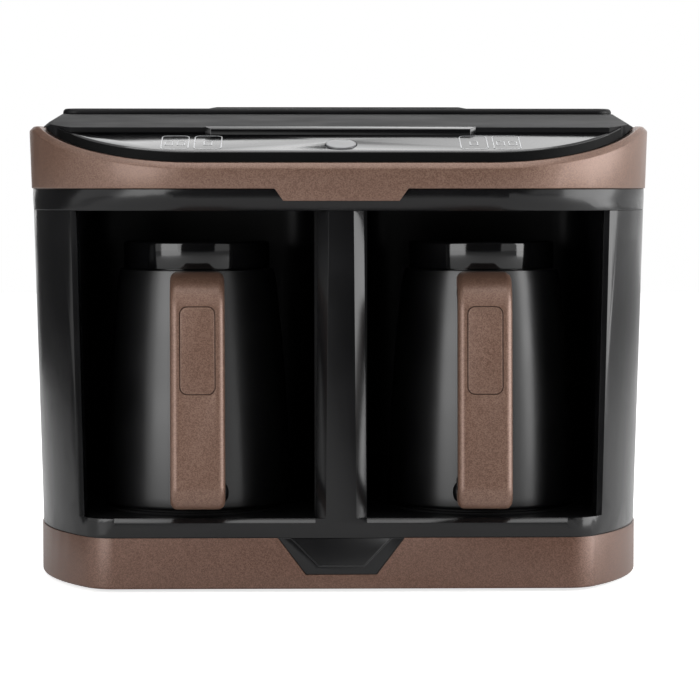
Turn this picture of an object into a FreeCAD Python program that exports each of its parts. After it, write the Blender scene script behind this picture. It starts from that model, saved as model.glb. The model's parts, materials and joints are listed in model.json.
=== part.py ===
import FreeCAD, Part
import math
import os
import types
import Sketcher
from FreeCAD import Placement, Rotation, Vector

# Electric Turkish coffee maker with two pots, in millimetres.
# Z is up from the surface it stands on, X runs along the front, and the front faces -Y.
# Inside this file Y is first counted back from the front of the painted band,
# and every piece is then placed so that the whole object is centred on the origin.

os.makedirs("parts", exist_ok=True)
doc = FreeCAD.newDocument("coffee_maker")

# Driving sizes: name, value, what it is
rows = [
    ("body_depth", 205.0, "front of the band to the back"),
    ("near_turn", 50.0, "turn of the first arc of a front corner, degrees"),
    ("corner_radius", 25.0, "rear corners in plan"),
    ("head_half", 138.5, "top of the band, half the width"),
    ("band_taper", 1.2, "band narrower at its lower edge, each side"),
    ("head_straight", 62.0, "straight front of the band, half"),
    ("shoulder_inset", 2.3, "top of the body inside the band, each side"),
    ("shoulder_front", 6.0, "top of the body behind the band's front"),
    ("shoulder_straight", 70.0, "straight front of the body's top, half"),
    ("foot_inset", 5.3, "foot of the body inside the band, each side"),
    ("foot_front", 8.0, "foot of the body behind the band's front"),
    ("foot_straight", 97.0, "straight front of the foot, half"),
    ("foot_near_radius", 16.0, "first arc of the foot's front corner"),
    ("back_inset", 1.0, "body's back ahead of the band's back"),
    ("base_proud", 0.5, "base shell outside the body's foot"),
    ("base_low", 1.5, "underside of the base shell"),
    ("base_high", 23.5, "joint between base shell and body"),
    ("base_edge", 1.2, "round under the base shell"),
    ("shoulder_high", 163.0, "top of the body and ceiling of the bays"),
    ("cove_high", 168.0, "top of the cove under the head"),
    ("band_low", 172.5, "lower edge of the band"),
    ("shell_wall", 3.0, "walls of the body, base and head"),
    ("ledge_low", 4.5, "ledge that the bottom cover screws to"),
    ("ledge_thick", 3.0, "thickness of that ledge"),
    ("ledge_reach", 6.0, "ledge inside the wall"),
    ("fit_gap", 0.3, "gap between pieces that fit in each other"),
    ("notch_top_half", 27.1, "notch in the base, half its top"),
    ("notch_foot_half", 15.2, "notch in the base, half its foot"),
    ("notch_low", 7.7, "foot of the notch"),
    ("notch_rim_side", 5.6, "rim beside the notch's recess"),
    ("notch_rim_foot", 3.6, "rim below the recess"),
    ("notch_recess", 1.0, "depth of the recess"),
    ("notch_flange", 2.0, "flange behind the wall"),
    ("pillar_top_half", 9.7, "middle pillar at its top, half"),
    ("pillar_foot_half", 11.0, "middle pillar at its foot, half"),
    ("pillar_deep", 13.0, "middle pillar, front to back"),
    ("pillar_bevel", 4.4, "bevel along the pillar"),
    ("bay_top_half", 113.7, "outer edge of the openings at the top"),
    ("bay_foot_half", 110.1, "outer edge of the openings at the sill"),
    ("column_flat", 2.4, "flat along each column's inner edge"),
    ("bay_cut_deep", 62.0, "how far the openings cut into the front"),
    ("opening_bevel", 1.8, "bevel round the openings"),
    ("sill_high", 31.8, "top of the sill"),
    ("floor_high", 31.2, "floor of the bays"),
    ("floor_thick", 2.4, "floor plate"),
    ("bay_back", 114.0, "back wall of the bays"),
    ("bay_wall", 2.0, "bay liner wall"),
    ("bay_back_round", 14.0, "rear corners of the bays"),
    ("window_half", 97.0, "window in the back, half the width"),
    ("window_low", 40.0, "window in the back, foot"),
    ("window_high", 150.0, "window in the back, top"),
    ("cover_flange", 8.0, "flange of the rear cover"),
    ("cover_wall", 2.5, "rear cover plate"),
    ("vent_long", 44.0, "ventilation slot, length"),
    ("vent_wide", 3.0, "ventilation slot, height"),
    ("vent_round", 1.2, "ventilation slot, corners"),
    ("vent_step", 7.0, "ventilation slots, spacing"),
    ("vent_count", 7.0, "ventilation slots in a row"),
    ("gland_side", 74.0, "power inlet, from the middle"),
    ("gland_high", 52.0, "power inlet, height"),
    ("gland_radius", 6.0, "power inlet bush"),
    ("gland_bore", 3.6, "power inlet bore, radius"),
    ("gland_flange", 9.0, "power inlet flange, radius"),
    ("band_front_high", 182.9, "top of the band at its front"),
    ("head_slope", 18.0, "slope of the head's front, degrees"),
    ("slope_deep", 52.0, "where the band's slope ends"),
    ("band_rear_high", 201.5, "top of the band at its back"),
    ("band_side_wall", 5.6, "band wall at the sides"),
    ("band_front_wall", 2.2, "band wall at the front"),
    ("band_chamfer", 2.0, "chamfer on the band's top edge"),
    ("tab_top_half", 28.2, "tab of the band, half its top"),
    ("tab_foot_half", 24.5, "tab of the band, half its foot"),
    ("tab_low", 167.3, "foot of the tab"),
    ("tab_thick", 1.2, "thickness of the tab"),
    ("skirt_inset", 1.6, "head skirt behind the band"),
    ("tray_floor", 2.2, "floor of the head tray"),
    ("tray_rim", 5.0, "rim that carries the panel and cover"),
    ("panel_front_high", 188.2, "top of the panel at its front"),
    ("panel_thick", 3.0, "panel plate"),
    ("panel_rear", 36.0, "rear edge of the panel"),
    ("cover_front", 27.7, "front edge of the top cover"),
    ("cover_step", 2.4, "top cover above the panel at that edge"),
    ("deck_front", 103.0, "front edge of the raised deck"),
    ("cover_rear_high", 206.5, "top cover at the deck"),
    ("deck_thick", 2.6, "raised deck"),
    ("deck_inset", 8.8, "raised deck inside the band, each side"),
    ("deck_rear_set", 9.0, "raised deck ahead of the back"),
    ("deck_round", 1.8, "rounded edge of the deck"),
    ("hump_half", 62.0, "hump on the deck, half its width"),
    ("hump_rise", 0.8, "hump on the deck, height"),
    ("strip_half", 58.3, "strip on the cover's edge, half its width"),
    ("strip_proud", 2.8, "strip ahead of the cover"),
    ("button_setback", 11.5, "push button behind the band's front"),
    ("button_radius", 6.5, "push button"),
    ("button_proud", 0.5, "push button above the panel"),
    ("button_travel", 1.2, "push button travel"),
    ("guide_wall", 0.8, "wall of the button guide"),
    ("guide_long", 8.0, "length of the button guide"),
    ("stem_radius", 2.2, "button stem"),
    ("spring_wire", 0.5, "button spring wire, radius"),
    ("spring_radius", 3.6, "button spring, to the wire's middle"),
    ("board_thick", 1.6, "circuit boards"),
    ("board_drop", 12.0, "touch board below the panel's top"),
    ("pot_apart", 63.4, "pot axis from the middle"),
    ("pot_setback", 66.0, "pot axis behind the band's front"),
    ("pot_low", 33.1, "underside of the pots"),
    ("pot_foot_radius", 41.5, "pot at its foot"),
    ("pot_waist_radius", 39.5, "pot half way up"),
    ("pot_mouth_radius", 34.6, "pot at its mouth"),
    ("pot_tall", 104.0, "pot without the lid"),
    ("pot_wall", 1.2, "pot wall"),
    ("pot_base_thick", 2.6, "heated disc under the pot"),
    ("pot_base_radius", 37.0, "heated disc under the pot"),
    ("lid_radius", 32.4, "lid"),
    ("lid_tall", 12.0, "lid above the pot"),
    ("lid_wall", 2.0, "lid wall"),
    ("plug_deep", 6.0, "lid skirt inside the pot"),
    ("plug_radius", 28.8, "lid skirt inside the pot"),
    ("seal_thick", 2.4, "lid seal"),
    ("handle_wide", 23.2, "handle, side to side"),
    ("handle_reach", 74.0, "front of the grip's foot from the pot axis"),
    ("handle_lean", 14.0, "grip's top leans back by this"),
    ("handle_thick", 11.5, "grip, front to back"),
    ("handle_low", 3.5, "underside of the handle"),
    ("handle_drop", 0.6, "top of the handle below the pot's mouth"),
    ("handle_foot_round", 9.0, "lower bend of the grip"),
    ("handle_top_round", 19.0, "upper bend of the grip"),
    ("handle_edge", 3.2, "soft edges of the handle"),
    ("handle_core", 5.0, "dark inner half of the handle"),
    ("inset_wide", 14.5, "plate in the grip, width"),
    ("inset_low_drop", 50.2, "foot of the plate in the grip below the handle's top"),
    ("inset_high_drop", 13.3, "plate in the grip below the handle's top"),
    ("inset_deep", 1.6, "plate in the grip, thickness"),
    ("inset_round", 3.0, "plate in the grip, corners"),
    ("inset_gap", 0.4, "groove round that plate"),
    ("boss_radius", 4.1, "cross boss at the handle's foot"),
    ("boss_half", 13.7, "cross boss, half its length"),
    ("boss_high", 8.6, "cross boss above the pot's foot"),
    ("boss_reach", 46.5, "cross boss from the pot axis"),
    ("pot_turn", 2.2, "each pot turned inwards, degrees"),
    ("heater_radius", 38.5, "heating plate"),
    ("heater_thick", 3.0, "heating plate"),
    ("heater_lip", 3.0, "seal round the heating plate"),
    ("element_radius", 26.0, "heating element ring"),
    ("element_tube", 3.0, "heating element tube, radius"),
    ("sensor_radius", 6.5, "foam sensor housing"),
    ("sensor_tall", 13.0, "foam sensor housing"),
    ("foot_radius", 8.0, "rubber foot"),
    ("foot_side", 30.5, "rubber feet inside the band's side"),
    ("foot_front_set", 38.0, "front feet behind the band's front"),
    ("foot_rear_set", 27.0, "rear feet ahead of the back"),
    ("screw_radius", 1.45, "screw shank"),
    ("screw_head", 3.0, "screw head, radius"),
    ("screw_head_tall", 1.6, "screw head, height"),
    ("cover_low", 2.0, "underside of the bottom cover"),
    ("pilot_gap", 0.05, "pilot holes round a screw"),
    ("stud_radius", 2.5, "stud of a rubber foot"),
    ("stud_long", 2.5, "stud above the bottom cover"),
    ("screw_side", 60.0, "front and rear base screws, from the middle"),
    ("screw_long", 3.6, "base screws below their heads"),
    ("rear_screw_long", 2.6, "rear screws below their heads"),
    ("return_deep", 36.0, "walls that run back from the columns, rear end"),
    ("flange_thick", 2.0, "flange of the rear cover"),
    ("vent_low", 80.0, "lowest ventilation slot in the back"),
    ("tray_wall", 2.0, "wall of the floor tray"),
    ("seal_proud", 0.8, "plate seal above the floor"),
    ("thermostat_radius", 8.0, "thermostat"),
    ("thermostat_tall", 6.0, "thermostat"),
    ("sensor_sunk", 0.4, "foam sensor above the ceiling"),
    ("fuse_radius", 2.0, "thermal fuse"),
    ("fuse_long", 12.0, "thermal fuse"),
    ("fuse_off", 14.0, "thermal fuse behind the plate's middle"),
    ("wire_way_half", 30.0, "way for the wires into the head, half"),
    ("panel_rim", 2.5, "rim under the panel and cover"),
    ("panel_edge", 0.6, "bright edge of the panel"),
    ("strip_over", 0.3, "strip above the cover's edge"),
    ("deck_corner", 8.0, "corners of the deck in plan"),
    ("cap_thick", 3.0, "button cap"),
    ("stem_long", 7.0, "button stem"),
    ("touch_half", 78.0, "touch board, half its width"),
    ("touch_front", 4.0, "touch board ahead of the button"),
    ("touch_rear", 20.0, "touch board behind the button"),
    ("switch_half", 3.0, "switch under the button, half"),
    ("post_edge", 3.0, "posts from the board's edge"),
    ("post_radius", 2.0, "posts of the touch board"),
    ("boss_wall", 2.0, "wall of a screw boss"),
    ("power_half", 60.0, "power board, half its width"),
    ("power_low", 60.0, "power board, foot"),
    ("power_high", 140.0, "power board, top"),
    ("power_off", 12.0, "power board from the rear cover"),
    ("core_wide", 34.0, "transformer, width"),
    ("core_deep", 24.0, "transformer, depth"),
    ("core_tall", 28.0, "transformer, height"),
    ("relay_wide", 15.0, "relay, width"),
    ("relay_deep", 16.0, "relay, depth"),
    ("relay_tall", 19.0, "relay, height"),
    ("can_radius", 5.0, "capacitor"),
    ("can_tall", 14.0, "capacitor"),
    ("mouth_radius", 30.2, "opening of the pot's mouth"),
    ("pot_edge", 1.6, "small edges of the pot"),
    ("lid_edge", 1.4, "edge of the lid"),
    ("seal_top", 1.6, "lid seal below the lid's foot"),
    ("seal_groove", 1.0, "groove that holds the lid seal"),
    ("handle_root", 30.0, "where the handle's arms end, from the pot axis"),
    ("bend_share", 0.55, "how much an inner bend is tighter than the outer one"),
    ("core_edge", 1.6, "soft edges of the handle's core"),
]

sheet = doc.addObject("Spreadsheet::Sheet", "Sizes")
for line, (alias, value, meaning) in enumerate(rows, start=1):
    sheet.set("A%d" % line, alias)
    sheet.set("B%d" % line, str(value))
    sheet.set("C%d" % line, meaning)
    sheet.setAlias("B%d" % line, alias)
doc.recompute()


class Measure:
    """A size with its number and the formula that ties it to the sheet."""

    def __init__(self, number, formula):
        self.number = number
        self.formula = formula

    def __add__(self, other):
        other = measure(other)
        return Measure(self.number + other.number, "(%s + %s)" % (self.formula, other.formula))

    def __sub__(self, other):
        other = measure(other)
        return Measure(self.number - other.number, "(%s - %s)" % (self.formula, other.formula))

    def __mul__(self, other):
        other = measure(other)
        return Measure(self.number * other.number, "(%s * %s)" % (self.formula, other.formula))

    def __truediv__(self, other):
        other = measure(other)
        return Measure(self.number / other.number, "(%s / %s)" % (self.formula, other.formula))

    def __neg__(self):
        return measure(0) - self

    def __radd__(self, other):
        return measure(other) + self

    def __rsub__(self, other):
        return measure(other) - self

    def __rmul__(self, other):
        return measure(other) * self


def measure(value):
    if isinstance(value, Measure):
        return value
    return Measure(float(value), repr(float(value)))


size = types.SimpleNamespace()
for alias, value, meaning in rows:
    setattr(size, alias, Measure(float(sheet.get(alias)), "Sizes." + alias))

size.shoulder_half = size.head_half - size.shoulder_inset
size.foot_half = size.head_half - size.foot_inset
size.deck_half = size.head_half - size.deck_inset
size.handle_high = size.pot_tall - size.handle_drop
size.inset_high = size.handle_high - size.inset_high_drop
size.inset_low = size.handle_high - size.inset_low_drop
size.deck_rear = size.body_depth - size.deck_rear_set
handle_proud = size.handle_reach - size.pot_setback
middle = (size.body_depth - handle_proud) / 2
slope_rate = Measure(math.tan(math.radians(size.head_slope.number)), "tan(Sizes.head_slope * 1 deg)")
slope_cosine = Measure(math.cos(math.radians(size.head_slope.number)), "cos(Sizes.head_slope * 1 deg)")
far = measure(60)
pieces = []


def bind(target, path, value):
    """Tie one property of an object to the sheet."""
    target.setExpression(path, measure(value).formula)


def place(target, x=0, y=0, z=0):
    """Put a finished piece where the assembly has it."""
    bind(target, "Placement.Base.x", x)
    bind(target, "Placement.Base.y", y - middle)
    bind(target, "Placement.Base.z", z)


def keep(target, name, x=0, y=0, z=0, turned=None):
    """Name a piece, place it and put it on the list of pieces."""
    target.Label = name
    if turned is not None:
        target.Placement = Placement(Vector(0, 0, 0), turned)
    place(target, x, y, z)
    pieces.append(target)
    return target


def new_body(name):
    return doc.addObject("PartDesign::Body", name)


def sketch(body, role, name, level=0, along=0, tilt=0):
    """A sketch on one of the body's own planes: moved by level along its normal,
    moved by along up its second axis, and tilted about its first axis by degrees."""
    made = body.newObject("Sketcher::SketchObject", name)
    plane = [item for item in body.Origin.OriginFeatures if item.Role == role][0]
    made.AttachmentSupport = [(plane, "")]
    made.MapMode = "FlatFace"
    made.AttachmentOffset = Placement(Vector(0, 0, 0), Rotation(Vector(1, 0, 0), tilt))
    bind(made, "AttachmentOffset.Base.y", along)
    bind(made, "AttachmentOffset.Base.z", level)
    return made


def polygon(target, points):
    """Straight lines through points, each tied to the sheet."""
    points = [(measure(across), measure(along)) for across, along in points]
    corners = [Vector(across.number, along.number, 0) for across, along in points]
    lines = target.addGeometry([Part.LineSegment(start, end) for start, end
                                in zip(corners, corners[1:] + corners[:1])], False)
    rules = [Sketcher.Constraint("Coincident", line, 2, following, 1)
             for line, following in zip(lines, lines[1:] + lines[:1])]
    values = []
    for line, point in zip(lines, points):
        for kind, value in zip(("DistanceX", "DistanceY"), point):
            rules.append(Sketcher.Constraint(kind, line, 1, value.number))
            values.append(value)
    added = target.addConstraint(rules)
    for index, value in zip(added[len(lines):], values):
        bind(target, "Constraints[%d]" % index, value)


def rectangle(target, left, low, right, high):
    polygon(target, [(left, low), (right, low), (right, high), (left, high)])


def circle(target, across, along, radius):
    """A circle with its centre and radius tied to the sheet."""
    across, along, radius = measure(across), measure(along), measure(radius)
    made = target.addGeometry(Part.Circle(Vector(across.number, along.number, 0),
                                          Vector(0, 0, 1), radius.number), False)
    added = target.addConstraint([Sketcher.Constraint("DistanceX", made, 3, across.number),
                                  Sketcher.Constraint("DistanceY", made, 3, along.number),
                                  Sketcher.Constraint("Radius", made, radius.number)])
    for index, value in zip(added, (across, along, radius)):
        bind(target, "Constraints[%d]" % index, value)


def feature(body, kind, profile, name, **settings):
    """A feature on a sketch, with its lengths tied to the sheet."""
    made = body.newObject("PartDesign::" + kind, name)
    made.Profile = profile
    for key, value in settings.items():
        if isinstance(value, Measure):
            bind(made, key, value)
        else:
            setattr(made, key, value)
    body.Tip = made
    doc.recompute()
    return made


def pad(body, profile, length, name, **settings):
    return feature(body, "Pad", profile, name, Length=measure(length), **settings)


def pocket(body, profile, length, name, **settings):
    """A pocket that must take something away."""
    before = body.Shape.Volume
    made = feature(body, "Pocket", profile, name, Length=measure(length), **settings)
    assert body.Shape.Volume < before, name + " cuts nothing"
    return made


def through(body, profile, name):
    """A pocket right through the piece, both ways from its sketch."""
    before = body.Shape.Volume
    made = feature(body, "Pocket", profile, name, Type="ThroughAll", SideType="Symmetric")
    assert body.Shape.Volume < before, name + " cuts nothing"
    return made


def dress(body, kind, edges, name, reach):
    """A fillet or chamfer on the edges that a test picks."""
    last = body.Tip
    made = body.newObject("PartDesign::" + kind, name)
    made.Base = (last, edges)
    bind(made, "Radius" if kind == "Fillet" else "Size", reach)
    body.Tip = made
    doc.recompute()
    return made


def edges_where(shape, test):
    """Names of the edges whose middle point and direction pass a test."""
    found = []
    for index, edge in enumerate(shape.Edges, start=1):
        if edge.Length < 0.01:
            continue
        half = edge.getParameterByLength(edge.Length / 2)
        if test(edge, edge.valueAt(half), edge.tangentAt(half)):
            found.append("Edge%d" % index)
    assert found, "no edge passes"
    return found


def cut_away(body, tool, name):
    """Take another body's solid away from this one."""
    before = body.Shape.Volume
    made = body.newObject("PartDesign::Boolean", name)
    made.Type = "Cut"
    made.addObjects([tool])
    body.Tip = made
    doc.recompute()
    assert body.Shape.Volume < before, name + " cuts nothing"
    return made


def loft(body, kind, first, second, name):
    made = body.newObject("PartDesign::" + kind, name)
    made.Profile = first
    made.Sections = [second]
    made.Ruled = True
    body.Tip = made
    doc.recompute()
    return made


def rounded(target, left, low, right, high, radius):
    """A rectangle with round corners, held where the sheet's sizes put it."""
    left, low, right, high = [measure(value).number for value in (left, low, right, high)]
    radius = measure(radius).number
    corners = [(right - radius, low + radius, -90), (right - radius, high - radius, 0),
               (left + radius, high - radius, 90), (left + radius, low + radius, 180)]
    edges = []
    for across, along, start in corners:
        first, last = math.radians(start), math.radians(start + 90)
        edges.append(Part.ArcOfCircle(Part.Circle(Vector(across, along, 0), Vector(0, 0, 1), radius),
                                      first, last))
    hold(target, joined(edges))


def joined(edges):
    """The same arcs with straight lines put between one's end and the next one's start."""
    chain = []
    for index, edge in enumerate(edges):
        following = edges[(index + 1) % len(edges)]
        chain.append(edge)
        if edge.EndPoint.distanceToPoint(following.StartPoint) > 1e-6:
            chain.append(Part.LineSegment(edge.EndPoint, following.StartPoint))
    return chain


def hold(target, edges):
    """Put edges into a sketch and hold them where they are."""
    lines = target.addGeometry(edges, False)
    target.addConstraint([Sketcher.Constraint("Block", line) for line in lines])


def cylinder(name, radius, length, x=0, y=0, z=0, axis=Vector(0, 0, 1)):
    """A cylinder tied to the sheet, standing on its place along an axis."""
    made = doc.addObject("Part::Cylinder", name)
    made.Placement = Placement(Vector(0, 0, 0), Rotation(Vector(0, 0, 1), axis))
    bind(made, "Radius", radius)
    bind(made, "Height", length)
    for path, value in (("x", x), ("y", y), ("z", z)):
        bind(made, "Placement.Base." + path, value)
    return made


def box(name, long, deep, tall, x=0, y=0, z=0):
    """A box tied to the sheet, with its lowest corner at its place."""
    made = doc.addObject("Part::Box", name)
    for path, value in (("Length", long), ("Width", deep), ("Height", tall), ("Placement.Base.x", x),
                        ("Placement.Base.y", y), ("Placement.Base.z", z)):
        bind(made, path, value)
    return made


def fused(name, *parts):
    made = doc.addObject("Part::MultiFuse", name)
    made.Shapes = list(parts)
    return made


def group(name, parts):
    """Separate solids of the same kind in one piece list entry."""
    made = doc.addObject("Part::Compound", name)
    made.Links = list(parts)
    return made


def cut_from(name, base, tool):
    made = doc.addObject("Part::Cut", name)
    made.Base = base
    made.Tool = tool
    return made


def near(first, second, reach=0.05):
    return abs(first - second) < reach


# The outline of the casing in plan: a straight front, front corners of two arcs,
# straight sides, round rear corners and a straight back.


def plan(front, straight, near_radius, side, rear, corner):
    return dict(front=measure(front).number, straight=measure(straight).number,
                near_radius=measure(near_radius).number, side=measure(side).number,
                rear=measure(rear).number, corner=measure(corner).number)


def inset(outline, wall):
    wall = measure(wall).number
    smaller = dict(outline)
    for key, change in (("front", wall), ("near_radius", -wall), ("side", -wall),
                        ("rear", -wall), ("corner", -wall)):
        smaller[key] += change
    return smaller


def plan_edges(outline):
    """Lines and arcs of an outline, counter-clockwise from the front."""
    turn = math.radians(size.near_turn.number)
    start_angle = turn - math.pi / 2
    front, straight, side = outline["front"], outline["straight"], outline["side"]
    near_radius, rear, corner = outline["near_radius"], outline["rear"], outline["corner"]
    far_radius = (side - straight - near_radius * math.sin(turn)) / (1 - math.sin(turn))
    near_centre = Vector(straight, front + near_radius, 0)
    lead = near_radius - far_radius
    far_centre = near_centre + Vector(lead * math.cos(start_angle), lead * math.sin(start_angle), 0)
    rear_centre = Vector(side - corner, rear - corner, 0)

    def arc(centre, radius, first, last):
        return Part.ArcOfCircle(Part.Circle(centre, Vector(0, 0, 1), radius), first, last)

    def mirrored(point):
        return Vector(-point.x, point.y, 0)

    def line(start, end):
        return Part.LineSegment(start, end)

    side_start = Vector(side, far_centre.y, 0)
    side_end = Vector(side, rear_centre.y, 0)
    rear_end = Vector(rear_centre.x, rear, 0)
    front_end = Vector(straight, front, 0)
    return [
        line(mirrored(front_end), front_end),
        arc(near_centre, near_radius, -math.pi / 2, start_angle),
        arc(far_centre, far_radius, start_angle, 0),
        line(side_start, side_end),
        arc(rear_centre, corner, 0, math.pi / 2),
        line(rear_end, mirrored(rear_end)),
        arc(mirrored(rear_centre), corner, math.pi / 2, math.pi),
        line(mirrored(side_end), mirrored(side_start)),
        arc(mirrored(far_centre), far_radius, math.pi, math.pi - start_angle),
        arc(mirrored(near_centre), near_radius, math.pi - start_angle, 3 * math.pi / 2),
    ]


def outline_sketch(body, name, level, *outlines):
    """One or two outlines of the casing at a height, each edge held where the plan has it."""
    made = sketch(body, "XY_Plane", name, level)
    for outline in outlines:
        hold(made, plan_edges(outline))
    return made


body_rear = size.body_depth - size.back_inset
head_plan = plan(0, size.head_straight, size.head_half - size.head_straight, size.head_half,
                 size.body_depth, size.corner_radius)
band_low_plan = plan(0, size.head_straight, size.head_half - size.band_taper - size.head_straight,
                     size.head_half - size.band_taper, size.body_depth, size.corner_radius)
skirt_plan = inset(head_plan, size.skirt_inset)
lid_plan = plan(size.band_front_wall, size.head_straight,
                size.head_half - size.band_side_wall - size.head_straight,
                size.head_half - size.band_side_wall,
                size.body_depth - size.band_side_wall, size.corner_radius - size.band_side_wall)
shoulder_plan = plan(size.shoulder_front, size.shoulder_straight,
                     size.shoulder_half - size.shoulder_straight, size.shoulder_half,
                     body_rear, size.corner_radius)
foot_plan = plan(size.foot_front, size.foot_straight, size.foot_near_radius, size.foot_half,
                 body_rear, size.corner_radius)
base_plan = inset(foot_plan, -size.base_proud)


# Base: painted shell with a notch in its front, the plate in the notch, and the bottom cover


def notch_points(margin, rim_side=0, rim_foot=0):
    """Corners of the notch, drawn in by a margin, or by more where it has a rim."""
    side = margin + rim_side
    return [(-(size.notch_foot_half - side), size.notch_low + margin + rim_foot),
            (size.notch_foot_half - side, size.notch_low + margin + rim_foot),
            (size.notch_top_half - side, size.base_high), (-(size.notch_top_half - side), size.base_high)]


def on_outline(point, outline):
    """True where a point lies on the outer line of a plan."""
    across, reach = abs(point.x), 0.05
    if near(across, outline["side"], reach) or near(point.y, outline["rear"], reach):
        return True
    if point.y > outline["rear"] - outline["corner"]:
        centre = Vector(outline["side"] - outline["corner"], outline["rear"] - outline["corner"], 0)
        return near(Vector(across, point.y, 0).distanceToPoint(centre), outline["corner"], reach)
    return across < outline["side"] and near(point.y, plan_front(outline, across), reach)


base_wall = size.shell_wall + size.base_proud
base_front = size.foot_front - size.base_proud
ledge_middle = base_wall + size.ledge_reach / 2
screw_places = []
for side in (-1, 1):
    screw_places.append((side * (size.foot_half + size.base_proud - ledge_middle), size.body_depth / 2))
    for depth in (base_front + ledge_middle, body_rear + size.base_proud - ledge_middle):
        screw_places.append((side * size.screw_side, depth))
foot_places = [(side * (size.head_half - size.foot_side), depth) for side in (-1, 1)
               for depth in (size.foot_front_set, size.body_depth - size.foot_rear_set)]


def make_base_shell():
    body = new_body("BaseShell")
    ring = outline_sketch(body, "BaseRing", size.base_low, base_plan, inset(base_plan, base_wall))
    pad(body, ring, size.base_high - size.base_low, "BaseWall")
    ledge = outline_sketch(body, "LedgeRing", size.ledge_low, inset(base_plan, size.shell_wall / 2),
                           inset(base_plan, base_wall + size.ledge_reach))
    pad(body, ledge, size.ledge_thick, "Ledge")
    under = edges_where(body.Shape, lambda edge, point, along: near(
        point.z, size.base_low.number) and on_outline(point, base_plan))
    dress(body, "Fillet", under, "BaseEdge", size.base_edge)
    notch = sketch(body, "XZ_Plane", "Notch")
    polygon(notch, notch_points(0))
    pocket(body, notch, size.foot_front + size.shell_wall + 1, "NotchCut")
    pilots = sketch(body, "XY_Plane", "Pilots", size.ledge_low)
    for across, along in screw_places:
        circle(pilots, across, along, size.screw_radius + size.pilot_gap)
    through(body, pilots, "PilotHoles")
    return keep(body, "base_shell")


def make_notch_plate():
    body = new_body("NotchPlate")
    wall_back = size.foot_front + size.shell_wall
    plate = sketch(body, "XZ_Plane", "Plate", -wall_back)
    polygon(plate, notch_points(size.fit_gap / 2))
    pad(body, plate, wall_back - base_front, "PlateBody")
    flange = sketch(body, "XZ_Plane", "Flange", -(wall_back + size.notch_flange))
    wide = size.notch_flange
    rectangle(flange, -(size.notch_top_half + wide), size.notch_low + size.fit_gap / 2,
              size.notch_top_half + wide, size.base_high)
    pad(body, flange, size.notch_flange, "FlangeBody")
    recess = sketch(body, "XZ_Plane", "Recess", -base_front)
    polygon(recess, notch_points(0, size.notch_rim_side, size.notch_rim_foot))
    pocket(body, recess, size.notch_recess, "RecessCut")
    return keep(body, "notch_plate")


def make_bottom_cover():
    body = new_body("BottomCover")
    plate = outline_sketch(body, "Plate", size.cover_low, inset(base_plan, base_wall + size.fit_gap))
    pad(body, plate, size.ledge_low - size.cover_low, "PlateBody")
    holes = sketch(body, "XY_Plane", "Holes", size.cover_low)
    for across, along in screw_places:
        circle(holes, across, along, size.screw_radius + size.fit_gap)
    for across, along in foot_places:
        circle(holes, across, along, size.stud_radius)
    through(body, holes, "HolesCut")
    heads = sketch(body, "XY_Plane", "Heads", size.cover_low)
    for across, along in screw_places:
        circle(heads, across, along, size.screw_head + size.fit_gap)
    pocket(body, heads, size.screw_head_tall + size.pilot_gap, "HeadsCut", Reversed=True)
    vents = sketch(body, "XY_Plane", "Vents", size.cover_low)
    for side in (-1, 1):
        for row in range(int(size.vent_count.number)):
            start = size.pot_setback + size.vent_step * (row - 3)
            left = side * size.pot_apart - size.vent_long / 2
            rounded(vents, left, start, left + size.vent_long, start + size.vent_wide, size.vent_round)
    through(body, vents, "VentsCut")
    return keep(body, "bottom_cover")


def make_screws(name, places, axis, sink):
    """Screws whose heads lie at their places, with the shank along an axis."""
    made = []
    for number, (across, along, up) in enumerate(places, start=1):
        head = cylinder("%sHead%d" % (name, number), size.screw_head, size.screw_head_tall,
                        across, along, up, axis)
        shank = cylinder("%sShank%d" % (name, number), size.screw_radius,
                         size.screw_head_tall + sink, across, along, up, axis)
        made.append(fused("%s%d" % (name, number), head, shank))
    return group(name, made)


def make_base_fasteners():
    places = [(across, along, size.cover_low + size.pilot_gap) for across, along in screw_places]
    keep(make_screws("BottomScrew", places, Vector(0, 0, 1), size.screw_long), "bottom_screws")
    feet = []
    for number, (across, along) in enumerate(foot_places, start=1):
        sole = cylinder("Sole%d" % number, size.foot_radius, size.cover_low, across, along)
        stud = cylinder("Stud%d" % number, size.stud_radius, size.ledge_low + size.stud_long,
                        across, along)
        feet.append(fused("Foot%d" % number, sole, stud))
    keep(group("Feet", feet), "rubber_feet")


# Body: one tapering moulding round both bays, with a middle pillar and returns beside the columns

pillar_back = size.shoulder_front + size.pillar_deep


def pillar_points():
    return [(-size.pillar_foot_half, size.base_high), (size.pillar_foot_half, size.base_high),
            (size.pillar_top_half, size.shoulder_high), (-size.pillar_top_half, size.shoulder_high)]


def return_points(side):
    """The wall that runs back from a column along the outer side of a bay."""
    foot, top, wall = size.bay_foot_half, size.bay_top_half, size.shell_wall
    return [(side * foot, size.base_high), (side * (foot + wall), size.base_high),
            (side * (top + wall), size.shoulder_high), (side * top, size.shoulder_high)]


def at_sill(foot, top):
    """A size of the tapering front at the sill's height."""
    rise = (size.sill_high - size.base_high) / (size.shoulder_high - size.base_high)
    return foot + (top - foot) * rise


def bay_points(side):
    inner = at_sill(size.pillar_foot_half, size.pillar_top_half)
    outer = at_sill(size.bay_foot_half, size.bay_top_half)
    return [(side * inner, size.sill_high), (side * outer, size.sill_high),
            (side * size.bay_top_half, size.shoulder_high),
            (side * size.pillar_top_half, size.shoulder_high)]


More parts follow.
